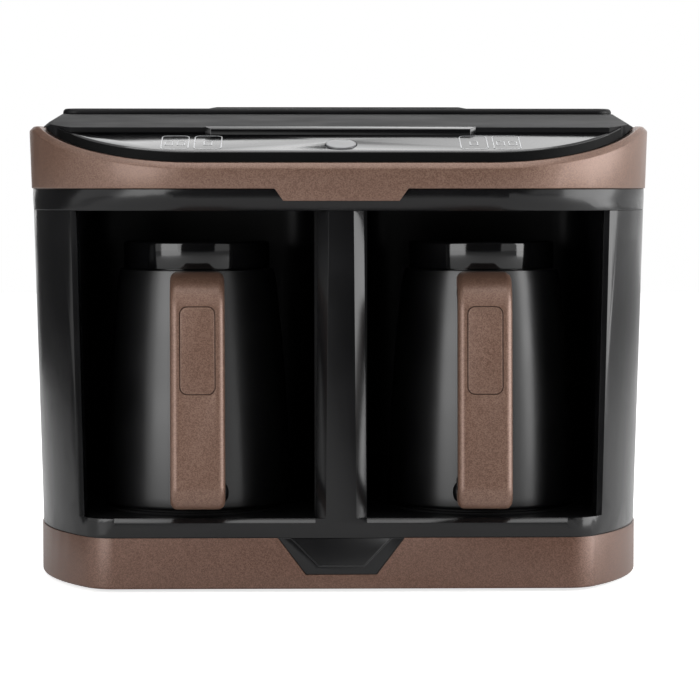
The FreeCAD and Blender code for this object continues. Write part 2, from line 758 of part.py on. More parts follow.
def plan_front(outline, across):
    """How far back the outline's front is at a distance from the middle."""
    turn = math.radians(size.near_turn.number)
    near_radius = outline["near_radius"]
    past = across - outline["straight"]
    if past <= 0:
        return outline["front"]
    if past <= near_radius * math.sin(turn):
        return outline["front"] + near_radius - math.sqrt(near_radius ** 2 - past ** 2)
    far_arc = plan_edges(outline)[2]
    return far_arc.Center.y - math.sqrt(far_arc.Radius ** 2 - (across - far_arc.Center.x) ** 2)


def taper_cut(body, name, low_points, high_points):
    """A cut that runs up the front between two outlines, at the sill and the shoulder."""
    before = body.Shape.Volume
    low = sketch(body, "XY_Plane", name + "Low", size.sill_high)
    polygon(low, low_points)
    high = sketch(body, "XY_Plane", name + "High", size.shoulder_high)
    polygon(high, high_points)
    loft(body, "SubtractiveLoft", low, high, name)
    assert body.Shape.Volume < before, name + " cuts nothing"


def bevel_pillar(body):
    """Wide bevels on the pillar, which start above the sill."""
    bevel = size.pillar_bevel
    for side, name in ((-1, "Left"), (1, "Right")):
        rows_of_points = []
        for half, front in ((at_sill(size.pillar_foot_half, size.pillar_top_half),
                             at_sill(size.foot_front, size.shoulder_front)),
                            (size.pillar_top_half, size.shoulder_front)):
            rows_of_points.append([(side * (half - bevel - 1), front - 1), (side * (half + 1), front - 1),
                                   (side * (half + 1), front + bevel + 1)])
        taper_cut(body, name + "PillarBevel", *rows_of_points)


def bevel_columns(body):
    """A narrow flat that faces the front along each column's inner edge."""
    for side, name in ((-1, "Left"), (1, "Right")):
        rows_of_points = []
        for half, outline in ((at_sill(size.bay_foot_half, size.bay_top_half), foot_plan),
                              (size.bay_top_half, shoulder_plan)):
            flat = plan_front(outline, (half + size.column_flat).number)
            rows_of_points.append([(side * (half - 1), 0), (side * (half + size.column_flat), 0),
                                   (side * (half + size.column_flat), flat), (side * (half - 1), flat)])
        taper_cut(body, name + "ColumnFlat", *rows_of_points)


def bevel_sill(body):
    edge = size.opening_bevel
    front = size.foot_front
    for side, name in ((-1, "Left"), (1, "Right")):
        wedge = sketch(body, "YZ_Plane", name + "SillBevel", side * size.pillar_foot_half)
        polygon(wedge, [(front - 1, size.sill_high - edge - 1), (front + edge + 1, size.sill_high + 1),
                        (front - 1, size.sill_high + 1)])
        pocket(body, wedge, size.foot_straight - size.pillar_foot_half, name + "SillBevelCut",
               Reversed=side > 0)


def make_front_frame():
    hollow = new_body("FrameHollow")
    low = outline_sketch(hollow, "HollowLow", size.base_high, inset(foot_plan, size.shell_wall))
    high = outline_sketch(hollow, "HollowHigh", size.shoulder_high,
                          inset(shoulder_plan, size.shell_wall))
    loft(hollow, "AdditiveLoft", low, high, "HollowLoft")
    pillar = sketch(hollow, "XZ_Plane", "PillarKept")
    polygon(pillar, pillar_points())
    pocket(hollow, pillar, pillar_back, "PillarKeptCut")
    for side, name in ((-1, "Left"), (1, "Right")):
        returned = sketch(hollow, "XZ_Plane", name + "ReturnKept")
        polygon(returned, return_points(side))
        pocket(hollow, returned, size.return_deep, name + "ReturnKeptCut")

    body = new_body("FrontFrame")
    low = outline_sketch(body, "FrameLow", size.base_high, foot_plan)
    high = outline_sketch(body, "FrameHigh", size.shoulder_high, shoulder_plan)
    loft(body, "AdditiveLoft", low, high, "FrameLoft")
    cut_away(body, hollow, "FrameWalls")
    openings = sketch(body, "XZ_Plane", "Openings")
    for side in (-1, 1):
        polygon(openings, bay_points(side))
    pocket(body, openings, size.bay_cut_deep, "OpeningsCut")
    window = sketch(body, "XZ_Plane", "Window", -(body_rear - size.shell_wall - 1))
    rectangle(window, -size.window_half, size.window_low, size.window_half, size.window_high)
    pocket(body, window, size.shell_wall + 2, "WindowCut")
    holes = sketch(body, "XZ_Plane", "RearHoles", -(body_rear - size.shell_wall - 1))
    for across, up in rear_screw_places:
        circle(holes, across, up, size.screw_radius + size.fit_gap)
    pocket(body, holes, size.shell_wall + 2, "RearHolesCut")
    heads = sketch(body, "XZ_Plane", "RearHeads", -(body_rear - size.screw_head_tall))
    for across, up in rear_screw_places:
        circle(heads, across, up, size.screw_head + size.fit_gap)
    pocket(body, heads, size.shell_wall, "RearHeadsCut")

    bevel_pillar(body)
    bevel_columns(body)
    bevel_sill(body)
    assert len(body.Shape.Solids) == 1, "the front frame has come apart"
    return keep(body, "front_frame")


rear_screw_places = [(side * (size.window_half + size.cover_flange / 2), up) for side in (-1, 1)
                     for up in (size.window_low + size.cover_flange,
                                size.window_high - size.cover_flange)]


def make_rear_cover():
    body = new_body("RearCover")
    inner = body_rear - size.shell_wall
    flange = sketch(body, "XZ_Plane", "Flange", -inner)
    reach = size.cover_flange
    rectangle(flange, -(size.window_half + reach), size.window_low - reach,
              size.window_half + reach, size.window_high + reach)
    pad(body, flange, size.flange_thick, "FlangeBody")
    plate = sketch(body, "XZ_Plane", "Plate", -body_rear)
    gap = size.fit_gap
    rectangle(plate, -(size.window_half - gap), size.window_low + gap,
              size.window_half - gap, size.window_high - gap)
    pad(body, plate, size.shell_wall, "PlateBody")
    hollow = sketch(body, "XZ_Plane", "Hollow", -(inner - size.flange_thick))
    rim = size.fit_gap + size.cover_wall
    rectangle(hollow, -(size.window_half - rim), size.window_low + rim,
              size.window_half - rim, size.window_high - rim)
    pocket(body, hollow, size.flange_thick + size.shell_wall - size.cover_wall, "HollowCut")
    holes = sketch(body, "XZ_Plane", "Holes")
    for across, up in rear_screw_places:
        circle(holes, across, up, size.screw_radius + size.pilot_gap)
    circle(holes, size.gland_side, size.gland_high, size.gland_radius)
    for side in (-1, 1):
        for row in range(int(size.vent_count.number)):
            low = size.vent_low + size.vent_step * row
            left = side * size.pot_apart - size.vent_long / 2
            rounded(holes, left, low, left + size.vent_long, low + size.vent_wide, size.vent_round)
    through(body, holes, "HolesCut")
    for number, (across, up) in enumerate(spacer_places, start=1):
        boss = sketch(body, "XZ_Plane", "Boss%d" % number, -(body_rear - size.cover_wall))
        circle(boss, across, up, size.boss_wall + size.screw_radius)
        pad(body, boss, board_back_gap, "BossBody%d" % number)
    return keep(body, "rear_cover")


def make_rear_fasteners():
    places = [(across, body_rear, up) for across, up in rear_screw_places]
    keep(make_screws("RearScrew", places, Vector(0, -1, 0), size.rear_screw_long), "rear_screws")
    bush = cylinder("GlandBush", size.gland_radius, size.shell_wall + size.flange_thick,
                    size.gland_side, body_rear, size.gland_high, Vector(0, -1, 0))
    lip = cylinder("GlandLip", size.gland_flange, size.back_inset, size.gland_side, body_rear,
                   size.gland_high, Vector(0, 1, 0))
    bore = cylinder("GlandBore", size.gland_bore, far, size.gland_side,
                    size.body_depth + far / 2, size.gland_high, Vector(0, -1, 0))
    keep(cut_from("Gland", fused("GlandWhole", bush, lip), bore), "cord_inlet")


# Bays: the floor tray, the liners, and the heating plates with what is under them


def make_floor_tray():
    body = new_body("FloorTray")
    outer = inset(foot_plan, size.shell_wall + size.fit_gap)
    foot = size.ledge_low + size.ledge_thick
    wall = outline_sketch(body, "TrayWall", foot, outer, inset(outer, size.tray_wall))
    pad(body, wall, size.floor_high - foot, "TrayWallBody")
    plate = outline_sketch(body, "TrayPlate", size.floor_high - size.floor_thick, outer)
    pad(body, plate, size.floor_thick, "TrayPlateBody")
    room = sketch(body, "XY_Plane", "PillarRoom")
    half = size.pillar_foot_half + size.fit_gap
    rectangle(room, -half, 0, half, pillar_back + size.fit_gap)
    through(body, room, "PillarRoomCut")
    for side, name in ((-1, "Left"), (1, "Right")):
        returned = sketch(body, "XY_Plane", name + "ReturnRoom")
        inner = size.bay_foot_half - size.fit_gap
        outside = size.bay_top_half + size.shell_wall + size.fit_gap
        first, last = (inner, outside) if side > 0 else (-outside, -inner)
        rectangle(returned, first, 0, last, size.return_deep + size.fit_gap)
        through(body, returned, name + "ReturnRoomCut")
    window = sketch(body, "XZ_Plane", "NotchRoom")
    half = size.notch_top_half + size.notch_flange + size.fit_gap
    rectangle(window, -half, foot, half, size.base_high + size.fit_gap)
    pocket(body, window, size.foot_front + far / 2, "NotchRoomCut")
    holes = sketch(body, "XY_Plane", "HeaterHoles")
    for side in (-1, 1):
        circle(holes, side * size.pot_apart, size.pot_setback, size.heater_radius + size.heater_lip)
    through(body, holes, "HeaterHolesCut")
    return keep(body, "floor_tray")


def round_backed(left, front, right, back, radius):
    """A rectangle in plan whose two rear corners are round."""
    left, front, right, back, radius = [measure(value).number
                                        for value in (left, front, right, back, radius)]
    upward = Vector(0, 0, 1)
    arcs = [Part.ArcOfCircle(Part.Circle(Vector(right - radius, back - radius, 0), upward, radius),
                             0, math.pi / 2),
            Part.ArcOfCircle(Part.Circle(Vector(left + radius, back - radius, 0), upward, radius),
                             math.pi / 2, math.pi)]
    return [Part.LineSegment(Vector(left, front, 0), Vector(right, front, 0)),
            Part.LineSegment(Vector(right, front, 0), arcs[0].StartPoint), arcs[0],
            Part.LineSegment(arcs[0].EndPoint, arcs[1].StartPoint), arcs[1],
            Part.LineSegment(arcs[1].EndPoint, Vector(left, front, 0))]


def make_bay_liner(name, side):
    body = new_body(name + "Liner")
    inner, outer, wall = size.pillar_foot_half + size.fit_gap, size.bay_top_half, size.bay_wall
    start, back = pillar_back + size.fit_gap, size.bay_back

    def span(first, last):
        return (first, last) if side > 0 else (-last, -first)

    block = sketch(body, "XY_Plane", "Block", size.floor_high)
    left, right = span(inner - wall, outer + wall)
    hold(block, round_backed(left, start, right, back + wall, size.bay_back_round + wall))
    pad(body, block, size.shoulder_high - size.floor_high, "BlockBody")
    room = sketch(body, "XY_Plane", "Room", size.floor_high)
    left, right = span(inner, outer)
    hold(room, round_backed(left, start - far, right, back, size.bay_back_round))
    through(body, room, "RoomCut")
    short = sketch(body, "XY_Plane", "Short", size.floor_high)
    left, right = span(outer - wall, outer + wall + far)
    rectangle(short, left, start - far, right, size.return_deep + size.fit_gap)
    through(body, short, "ShortCut")
    return keep(body, name.lower() + "_bay_liner")


def make_heater(name, side):
    across, along = side * size.pot_apart, size.pot_setback
    top = size.pot_low - size.fit_gap
    under = top - size.heater_thick
    plate = cylinder(name + "Plate", size.heater_radius, size.heater_thick, across, along, under)
    keep(plate, name.lower() + "_heating_plate", across, along, under)
    rim = cylinder(name + "SealRim", size.heater_radius + size.heater_lip,
                   size.floor_thick + size.seal_proud, 0, 0, 0)
    hole = cylinder(name + "SealHole", size.heater_radius, far, 0, 0, -far / 2)
    keep(cut_from(name + "Seal", rim, hole), name.lower() + "_plate_seal", across, along,
         size.floor_high - size.floor_thick)
    ring = doc.addObject("Part::Torus", name + "Element")
    bind(ring, "Radius1", size.element_radius)
    bind(ring, "Radius2", size.element_tube)
    keep(ring, name.lower() + "_heating_element", across, along, under - size.element_tube)
    cup = cylinder(name + "Thermostat", size.thermostat_radius, size.thermostat_tall)
    keep(cup, name.lower() + "_thermostat", across, along, under - size.thermostat_tall)
    housing = cylinder(name + "SensorBody", size.sensor_radius, size.sensor_tall)
    flange = cylinder(name + "SensorFlange", size.sensor_radius + size.bay_wall, size.bay_wall,
                      0, 0, size.tray_floor - size.sensor_sunk)
    keep(fused(name + "Sensor", housing, flange), name.lower() + "_foam_sensor", across, along,
         size.shoulder_high + size.sensor_sunk)


def make_fuses():
    under = size.pot_low - size.fit_gap - size.heater_thick
    fuses = []
    for number, side in enumerate((-1, 1), start=1):
        fuses.append(cylinder("Fuse%d" % number, size.fuse_radius, size.fuse_long,
                              side * size.pot_apart - size.fuse_long / 2,
                              size.pot_setback + size.fuse_off, under - size.fuse_radius,
                              Vector(1, 0, 0)))
    keep(group("Fuses", fuses), "thermal_fuses")


# Head: tray, painted band, control panel, top cover, deck and strip. The front of the head
# slopes up to the back, and every height on it follows from the same slope.


def band_top(depth):
    return size.band_front_high + depth * slope_rate


def panel_top(depth):
    return size.panel_front_high + (depth - lid_front) * slope_rate


def cover_top(depth):
    start = panel_top(size.cover_front) + size.cover_step
    rate = (size.cover_rear_high - start) / (size.deck_front - size.cover_front)
    return start + (depth - size.cover_front) * rate


lid_front = size.band_front_wall + size.fit_gap
sky = size.cover_rear_high + far
ahead = -far
behind = size.body_depth + far
panel_plan = inset(lid_plan, size.fit_gap)


def make_head_tray():
    body = new_body("HeadTray")
    low = outline_sketch(body, "CoveLow", size.shoulder_high, shoulder_plan)
    high = outline_sketch(body, "CoveHigh", size.cove_high, skirt_plan)
    loft(body, "AdditiveLoft", low, high, "Cove")
    skirt = outline_sketch(body, "Skirt", size.cove_high, skirt_plan)
    pad(body, skirt, size.band_low - size.cove_high, "SkirtBody")
    room = outline_sketch(body, "Room", size.shoulder_high + size.tray_floor,
                          inset(panel_plan, size.tray_rim))
    pocket(body, room, far, "RoomCut", Reversed=True)
    holes = sketch(body, "XY_Plane", "SensorHoles", size.shoulder_high)
    for side in (-1, 1):
        circle(holes, side * size.pot_apart, size.pot_setback, size.sensor_radius)
    rectangle(holes, -size.wire_way_half, size.bay_back + size.bay_wall * 4,
              size.wire_way_half, body_rear - size.shell_wall * 4)
    through(body, holes, "SensorHolesCut")
    return keep(body, "head_tray")


def make_top_band():
    body = new_body("TopBand")
    low = outline_sketch(body, "WallLow", size.band_low, band_low_plan)
    high = outline_sketch(body, "WallHigh", size.cover_rear_high, head_plan)
    loft(body, "AdditiveLoft", low, high, "WallBody")
    room = outline_sketch(body, "Room", size.band_low, lid_plan)
    through(body, room, "RoomCut")
    above = sketch(body, "YZ_Plane", "Above")
    polygon(above, [(ahead, band_top(ahead)), (size.slope_deep, band_top(size.slope_deep)),
                    (behind, size.band_rear_high), (behind, sky), (ahead, sky)])
    through(body, above, "AboveCut")
    edges = edges_where(body.Shape, lambda edge, point, along: abs(along.z) < 0.9 and
                        point.z > size.band_low.number + size.band_chamfer.number * 2
                        and not on_outline(point, lid_plan))
    dress(body, "Chamfer", edges, "TopChamfer", size.band_chamfer)
    tab = sketch(body, "XZ_Plane", "Tab", -size.tab_thick)
    top = size.band_low + size.tab_thick
    polygon(tab, [(-size.tab_foot_half, size.tab_low), (size.tab_foot_half, size.tab_low),
                  (size.tab_top_half, size.band_low), (size.tab_top_half, top),
                  (-size.tab_top_half, top), (-size.tab_top_half, size.band_low)])
    pad(body, tab, size.tab_thick, "TabBody")
    return keep(body, "top_band")


def make_control_panel():
    hollow = new_body("PanelHollow")
    inner = outline_sketch(hollow, "Inner", size.band_low, inset(panel_plan, size.panel_rim))
    pad(hollow, inner, sky - size.band_low, "InnerBody")
    above = sketch(hollow, "YZ_Plane", "InnerAbove")
    polygon(above, [(ahead, panel_top(ahead) - size.panel_thick),
                    (behind, panel_top(behind) - size.panel_thick), (behind, sky * 2), (ahead, sky * 2)])
    through(hollow, above, "InnerAboveCut")

    body = new_body("ControlPanel")
    outer = outline_sketch(body, "Outer", size.band_low, panel_plan)
    pad(body, outer, sky - size.band_low, "OuterBody")
    above = sketch(body, "YZ_Plane", "OuterAbove")
    rear = size.panel_rear
    polygon(above, [(ahead, panel_top(ahead)), (rear, panel_top(rear)), (rear, 0), (behind, 0),
                    (behind, sky * 2), (ahead, sky * 2)])
    through(body, above, "OuterAboveCut")
    cut_away(body, hollow, "PanelWalls")
    edges = edges_where(body.Shape, lambda edge, point, along: abs(along.z) < 0.9 and
                        near(point.z, panel_top(point.y).number) and on_outline(point, panel_plan))
    dress(body, "Chamfer", edges, "PanelEdge", size.panel_edge)
    hole = sketch(body, "XY_Plane", "ButtonHole", panel_top(size.button_setback),
                  size.button_setback, size.head_slope.number)
    circle(hole, 0, 0, size.button_radius + size.fit_gap)
    pocket(body, hole, size.panel_thick * 2, "ButtonHoleCut")
    return keep(body, "control_panel")


def make_top_cover():
    step = size.panel_rear + size.cover_wall
    hollow = new_body("CoverHollow")
    inner = outline_sketch(hollow, "Inner", size.band_low, inset(panel_plan, size.panel_rim))
    pad(hollow, inner, sky - size.band_low, "InnerBody")
    above = sketch(hollow, "YZ_Plane", "InnerAbove")
    wall = size.cover_wall
    polygon(above, [(ahead, 0), (step, 0), (step, cover_top(step) - wall),
                    (size.deck_front, size.cover_rear_high - wall),
                    (behind, size.cover_rear_high - wall), (behind, sky), (ahead, sky)])
    through(hollow, above, "InnerAboveCut")

    body = new_body("TopCover")
    outer = outline_sketch(body, "Outer", size.band_low, panel_plan)
    pad(body, outer, sky - size.band_low, "OuterBody")
    above = sketch(body, "YZ_Plane", "OuterAbove")
    front, rear = size.cover_front, size.panel_rear
    polygon(above, [(ahead, 0), (rear, 0), (rear, panel_top(rear)), (front, panel_top(front)),
                    (front, cover_top(front)), (size.deck_front, size.cover_rear_high),
                    (behind, size.cover_rear_high), (behind, sky), (ahead, sky)])
    through(body, above, "OuterAboveCut")
    cut_away(body, hollow, "CoverWalls")
    return keep(body, "top_cover")


def make_rear_deck():
    body = new_body("RearDeck")
    plate = sketch(body, "XY_Plane", "Plate", size.cover_rear_high)
    rounded(plate, -size.deck_half, size.deck_front, size.deck_half, size.deck_rear,
            size.deck_corner)
    pad(body, plate, size.deck_thick, "PlateBody")
    top = (size.cover_rear_high + size.deck_thick).number
    edges = edges_where(body.Shape, lambda edge, point, along: near(point.z, top))
    dress(body, "Fillet", edges, "DeckEdge", size.deck_round)
    hump = sketch(body, "XZ_Plane", "Hump", -(size.deck_rear - size.deck_corner))
    high = size.cover_rear_high + size.deck_thick
    narrow = size.hump_half - size.hump_rise * 6
    polygon(hump, [(-size.hump_half, high), (size.hump_half, high), (narrow, high + size.hump_rise),
                   (-narrow, high + size.hump_rise)])
    pad(body, hump, size.deck_rear - size.deck_front - size.deck_corner * 2, "HumpBody")
    return keep(body, "rear_deck")


def make_cover_strip():
    body = new_body("CoverStrip")
    front, rear = size.cover_front - size.strip_proud, size.cover_front
    high = cover_top(size.cover_front) + size.strip_over
    profile = sketch(body, "YZ_Plane", "Profile")
    polygon(profile, [(front, panel_top(front)), (rear, panel_top(rear)), (rear, high), (front, high)])
    feature(body, "Pad", profile, "ProfileBody", Length=size.strip_half * 2, SideType="Symmetric")
    edges = edges_where(body.Shape, lambda edge, point, along: abs(along.z) > 0.9
                        and near(point.y, front.number))
    dress(body, "Chamfer", edges, "Ends", size.strip_proud - size.fit_gap)
    return keep(body, "cover_strip")


# Push button, its guide and spring, and the touch board, all square to the sloping panel


def on_panel(target, name, below=0):
    """Put a piece square to the panel at the button, below the panel's top by a distance."""
    tilt = Rotation(Vector(1, 0, 0), size.head_slope.number)
    slope_sine = slope_rate * slope_cosine
    return keep(target, name, 0, size.button_setback + measure(below) * slope_sine,
                panel_top(size.button_setback) - measure(below) * slope_cosine, tilt)


panel_under = size.panel_thick * slope_cosine
button_low = size.cap_thick - size.button_proud
stem_low = button_low + size.stem_long


def make_button():
    body = new_body("Button")
    cap = sketch(body, "XY_Plane", "Cap", -button_low)
    circle(cap, 0, 0, size.button_radius)
    pad(body, cap, size.cap_thick, "CapBody")
    top = edges_where(body.Shape, lambda edge, point, along: near(point.z, size.button_proud.number))
    dress(body, "Fillet", top, "CapEdge", size.button_proud)
    stem = sketch(body, "XY_Plane", "Stem", -stem_low)
    circle(stem, 0, 0, size.stem_radius)
    pad(body, stem, size.stem_long, "StemBody")
    on_panel(body, "start_button")

    guide = new_body("Guide")
    tube = sketch(guide, "XY_Plane", "Tube", -(panel_under + size.guide_long))
    circle(tube, 0, 0, size.button_radius + size.fit_gap + size.guide_wall)
    pad(guide, tube, size.guide_long, "TubeBody")
    room = sketch(guide, "XY_Plane", "TubeRoom", -panel_under)
    circle(room, 0, 0, size.button_radius + size.fit_gap)
    pocket(guide, room, size.guide_long - size.guide_wall, "TubeRoomCut")
    hole = sketch(guide, "XY_Plane", "StemHole", -panel_under)
    circle(hole, 0, 0, size.stem_radius + size.fit_gap)
    through(guide, hole, "StemHoleCut")
    on_panel(guide, "button_guide")


def make_button_spring():
    floor = panel_under + size.guide_long - size.guide_wall
    room = floor - button_low - size.button_travel - size.fit_gap
    wire = size.spring_wire.number
    turns = 3
    pitch = (room.number - 2 * wire) / turns
    helix = Part.makeHelix(pitch, pitch * turns, size.spring_radius.number)
    ring = Part.Wire(Part.Circle(Vector(size.spring_radius.number, 0, 0), Vector(0, 1, 0), wire).toShape())
    coil = Part.Wire(helix).makePipeShell([ring], True, True)
    spring = doc.addObject("Part::Feature", "Spring")
    spring.Shape = coil
    on_panel(spring, "button_spring", floor - wire)


def make_touch_board():
    under = size.board_drop
    body = new_body("TouchBoard")
    plate = sketch(body, "XY_Plane", "Plate", -size.board_thick)
    rectangle(plate, -size.touch_half, -size.touch_front, size.touch_half, size.touch_rear)
    pad(body, plate, size.board_thick, "PlateBody")
    on_panel(body, "touch_board", under)
    switch = new_body("Switch")
    case = sketch(switch, "XY_Plane", "Case")
    half = size.switch_half
    rectangle(case, -half, -half, half, half)
    pad(switch, case, under - stem_low - size.button_travel - size.fit_gap, "CaseBody")
    on_panel(switch, "button_switch", under)
    posts = []
    number = 0
    for across in (-(size.touch_half - size.post_edge), size.touch_half - size.post_edge):
        for along in (-(size.touch_front - size.post_edge), size.touch_rear - size.post_edge):
            number += 1
            posts.append(cylinder("Post%d" % number, size.post_radius, under - panel_under,
                                  across, along, 0))
    on_panel(group("Posts", posts), "board_posts", under)


# Power board behind the bays, on bosses of the rear cover

spacer_places = [(across, up) for across in (-size.power_half + size.post_edge * 2,
                                             size.power_half - size.post_edge * 2)
                 for up in (size.power_low + size.post_edge * 2, size.power_high - size.post_edge * 2)]
board_back_gap = size.power_off


def make_power_board():
    rear = body_rear - size.cover_wall - board_back_gap
    front = rear - size.board_thick
    board = box("PowerBoard", size.power_half * 2, size.board_thick, size.power_high - size.power_low)
    keep(board, "power_board", -size.power_half, front, size.power_low)
    core = box("Transformer", size.core_wide, size.core_deep, size.core_tall)
    keep(core, "transformer", -size.power_half + size.post_edge * 5,
         front - size.core_deep, size.power_low + size.post_edge * 4)
    relays = []
    for number in range(2):
        relays.append(box("Relay%d" % (number + 1), size.relay_wide, size.relay_deep, size.relay_tall,
                          number * (size.relay_wide + size.post_edge), 0, 0))
    keep(group("Relays", relays), "relays", size.post_edge, front - size.relay_deep,
         size.power_low + size.post_edge * 4)
    cans = []
    for number in range(3):
        cans.append(cylinder("Can%d" % (number + 1), size.can_radius, size.can_tall,
                             number * size.can_radius * 3, 0, 0, Vector(0, -1, 0)))
    keep(group("Cans", cans), "capacitors", size.post_edge * 2, front,
         size.power_high - size.post_edge * 3)


# Pots: round bodies with a heated disc, a lift-off lid and a looped handle, about their own axis


def pot_arc(margin, low, high):
    """The pot's bulging side between two heights, drawn in by a margin."""
    foot, waist, top = size.pot_foot_radius, size.pot_waist_radius, size.pot_mouth_radius
    tall = size.pot_tall.number
    side = Part.Arc(Vector(foot.number, 0, 0), Vector(waist.number, tall / 2, 0),
                    Vector(top.number, tall, 0)).toShape().Curve
    radius, centre = side.Radius, side.Center

    def at(height):
        reach = math.sqrt((radius - margin) ** 2 - (height - centre.y) ** 2)
        return Vector(centre.x + reach, height, 0)

    return Part.Arc(at(low), at((low + high) / 2), at(high))


def pot_outline(inner):
    """Half section of the pot, as a shell or, without its inside, as a solid."""
    wall = size.pot_wall.number
    base, disc = size.pot_base_thick.number, size.pot_base_radius.number
    tall, mouth = size.pot_tall.number, size.mouth_radius.number
    edge = size.pot_edge.number
    low_edge = pot_arc(0, edge, tall - edge)
    start, end = low_edge.StartPoint, low_edge.EndPoint

    def points(*places):
        corners = [Vector(across, up, 0) for across, up in places]
        return [Part.LineSegment(first, last) for first, last in zip(corners, corners[1:])]

    outer = [low_edge, Part.LineSegment(end, Vector(end.x - edge, tall, 0))]
    if not inner:
        return outer + points((end.x - edge, tall), (0, tall), (0, 0), (start.x - edge, 0),
                              (start.x, edge))
    inside = pot_arc(wall, base + wall + edge, tall - wall - edge)
    low_in, high_in = inside.StartPoint, inside.EndPoint
    chain = points((end.x - edge, tall), (mouth, tall), (mouth, tall - wall),
                   (high_in.x - edge, tall - wall), (high_in.x, high_in.y))
    chain += [inside]
    chain += points((low_in.x, low_in.y), (low_in.x - edge, base + wall), (0, base + wall), (0, base),
                    (disc, base), (disc, 0), (start.x - edge, 0), (start.x, edge))
    return outer + chain


def turned_body(name, edges):
    """A body of revolution about Z from edges held in a sketch."""
    body = new_body(name)
    section = sketch(body, "XZ_Plane", "Section")
    hold(section, edges)
    axis = [item for item in body.Origin.OriginFeatures if item.Role == "Z_Axis"][0]
    feature(body, "Revolution", section, "Turned", ReferenceAxis=(axis, [""]), Angle=360)
    return body


def loop(*places):
    corners = [Vector(measure(across).number, measure(up).number, 0) for across, up in places]
    return [Part.LineSegment(first, last) for first, last in zip(corners, corners[1:] + corners[:1])]


def grip_points(outer, inner):
    """The looped handle's side between two depths measured in from its outer line."""
    low, high, reach = size.handle_low, size.handle_high, size.handle_reach
    top_reach = reach - size.handle_lean
    root = size.handle_root
    return [(-root, low + outer), (-(reach - outer), low + outer),
            (-(top_reach - outer), high - outer), (-root, high - outer),
            (-root, high - inner), (-(top_reach - inner), high - inner),
            (-(reach - inner), low + inner), (-root, low + inner)]


def make_handle_part(name, outer, inner, soft_outer):
    """One half of a handle: its bends first, then the soft edges of its free side."""
    body = new_body(name)
    side = sketch(body, "YZ_Plane", "Side")
    polygon(side, grip_points(outer, inner))
    feature(body, "Pad", side, "SideBody", Length=size.handle_wide, SideType="Symmetric")
    low, high = size.handle_low, size.handle_high
    for depth, tag in ((outer, "Outer"), (inner, "Inner")):
        for up, radius, end in ((low + depth, size.handle_foot_round, "Foot"),
                                (high - depth, size.handle_top_round, "Top")):
            edges = edges_where(body.Shape, lambda edge, point, along: abs(along.x) > 0.9 and
                                near(point.z, up.number) and point.y < -size.pot_foot_radius.number)
            dress(body, "Fillet", edges, tag + end, radius - depth * size.bend_share)
    free = outer if soft_outer else inner
    half = size.handle_wide / 2
    low_line, high_line = (low + free).number, (high - free).number

    def on_free_side(edge, point, along):
        if not near(abs(point.x), half.number) or point.y > -size.handle_root.number:
            return False
        other = inner if soft_outer else outer
        probe = Part.Vertex(Vector(0, point.y, point.z))
        return grip_line(free).distToShape(probe)[0] < grip_line(other).distToShape(probe)[0]

    edges = edges_where(body.Shape, on_free_side)
    dress(body, "Fillet", edges, "SoftEdges", size.handle_edge if soft_outer else size.core_edge)
    return body


def grip_line(depth):
    """The line of the handle's side at a depth, without its bends."""
    points = [Vector(0, measure(along).number, measure(up).number)
              for along, up in grip_points(depth, depth)[:4]]
    return Part.makePolygon(points)


def inset_sketch(body, name, margin):
    tilt = -math.degrees(math.atan2(size.handle_lean.number,
                                    (size.handle_high - size.handle_low).number))
    made = sketch(body, "XZ_Plane", name, size.handle_reach, size.handle_low, tilt)
    half = size.inset_wide / 2 + margin
    rounded(made, -half, size.inset_low - size.handle_low - margin, half,
            size.inset_high - size.handle_low + margin, size.inset_round + margin)
    return made


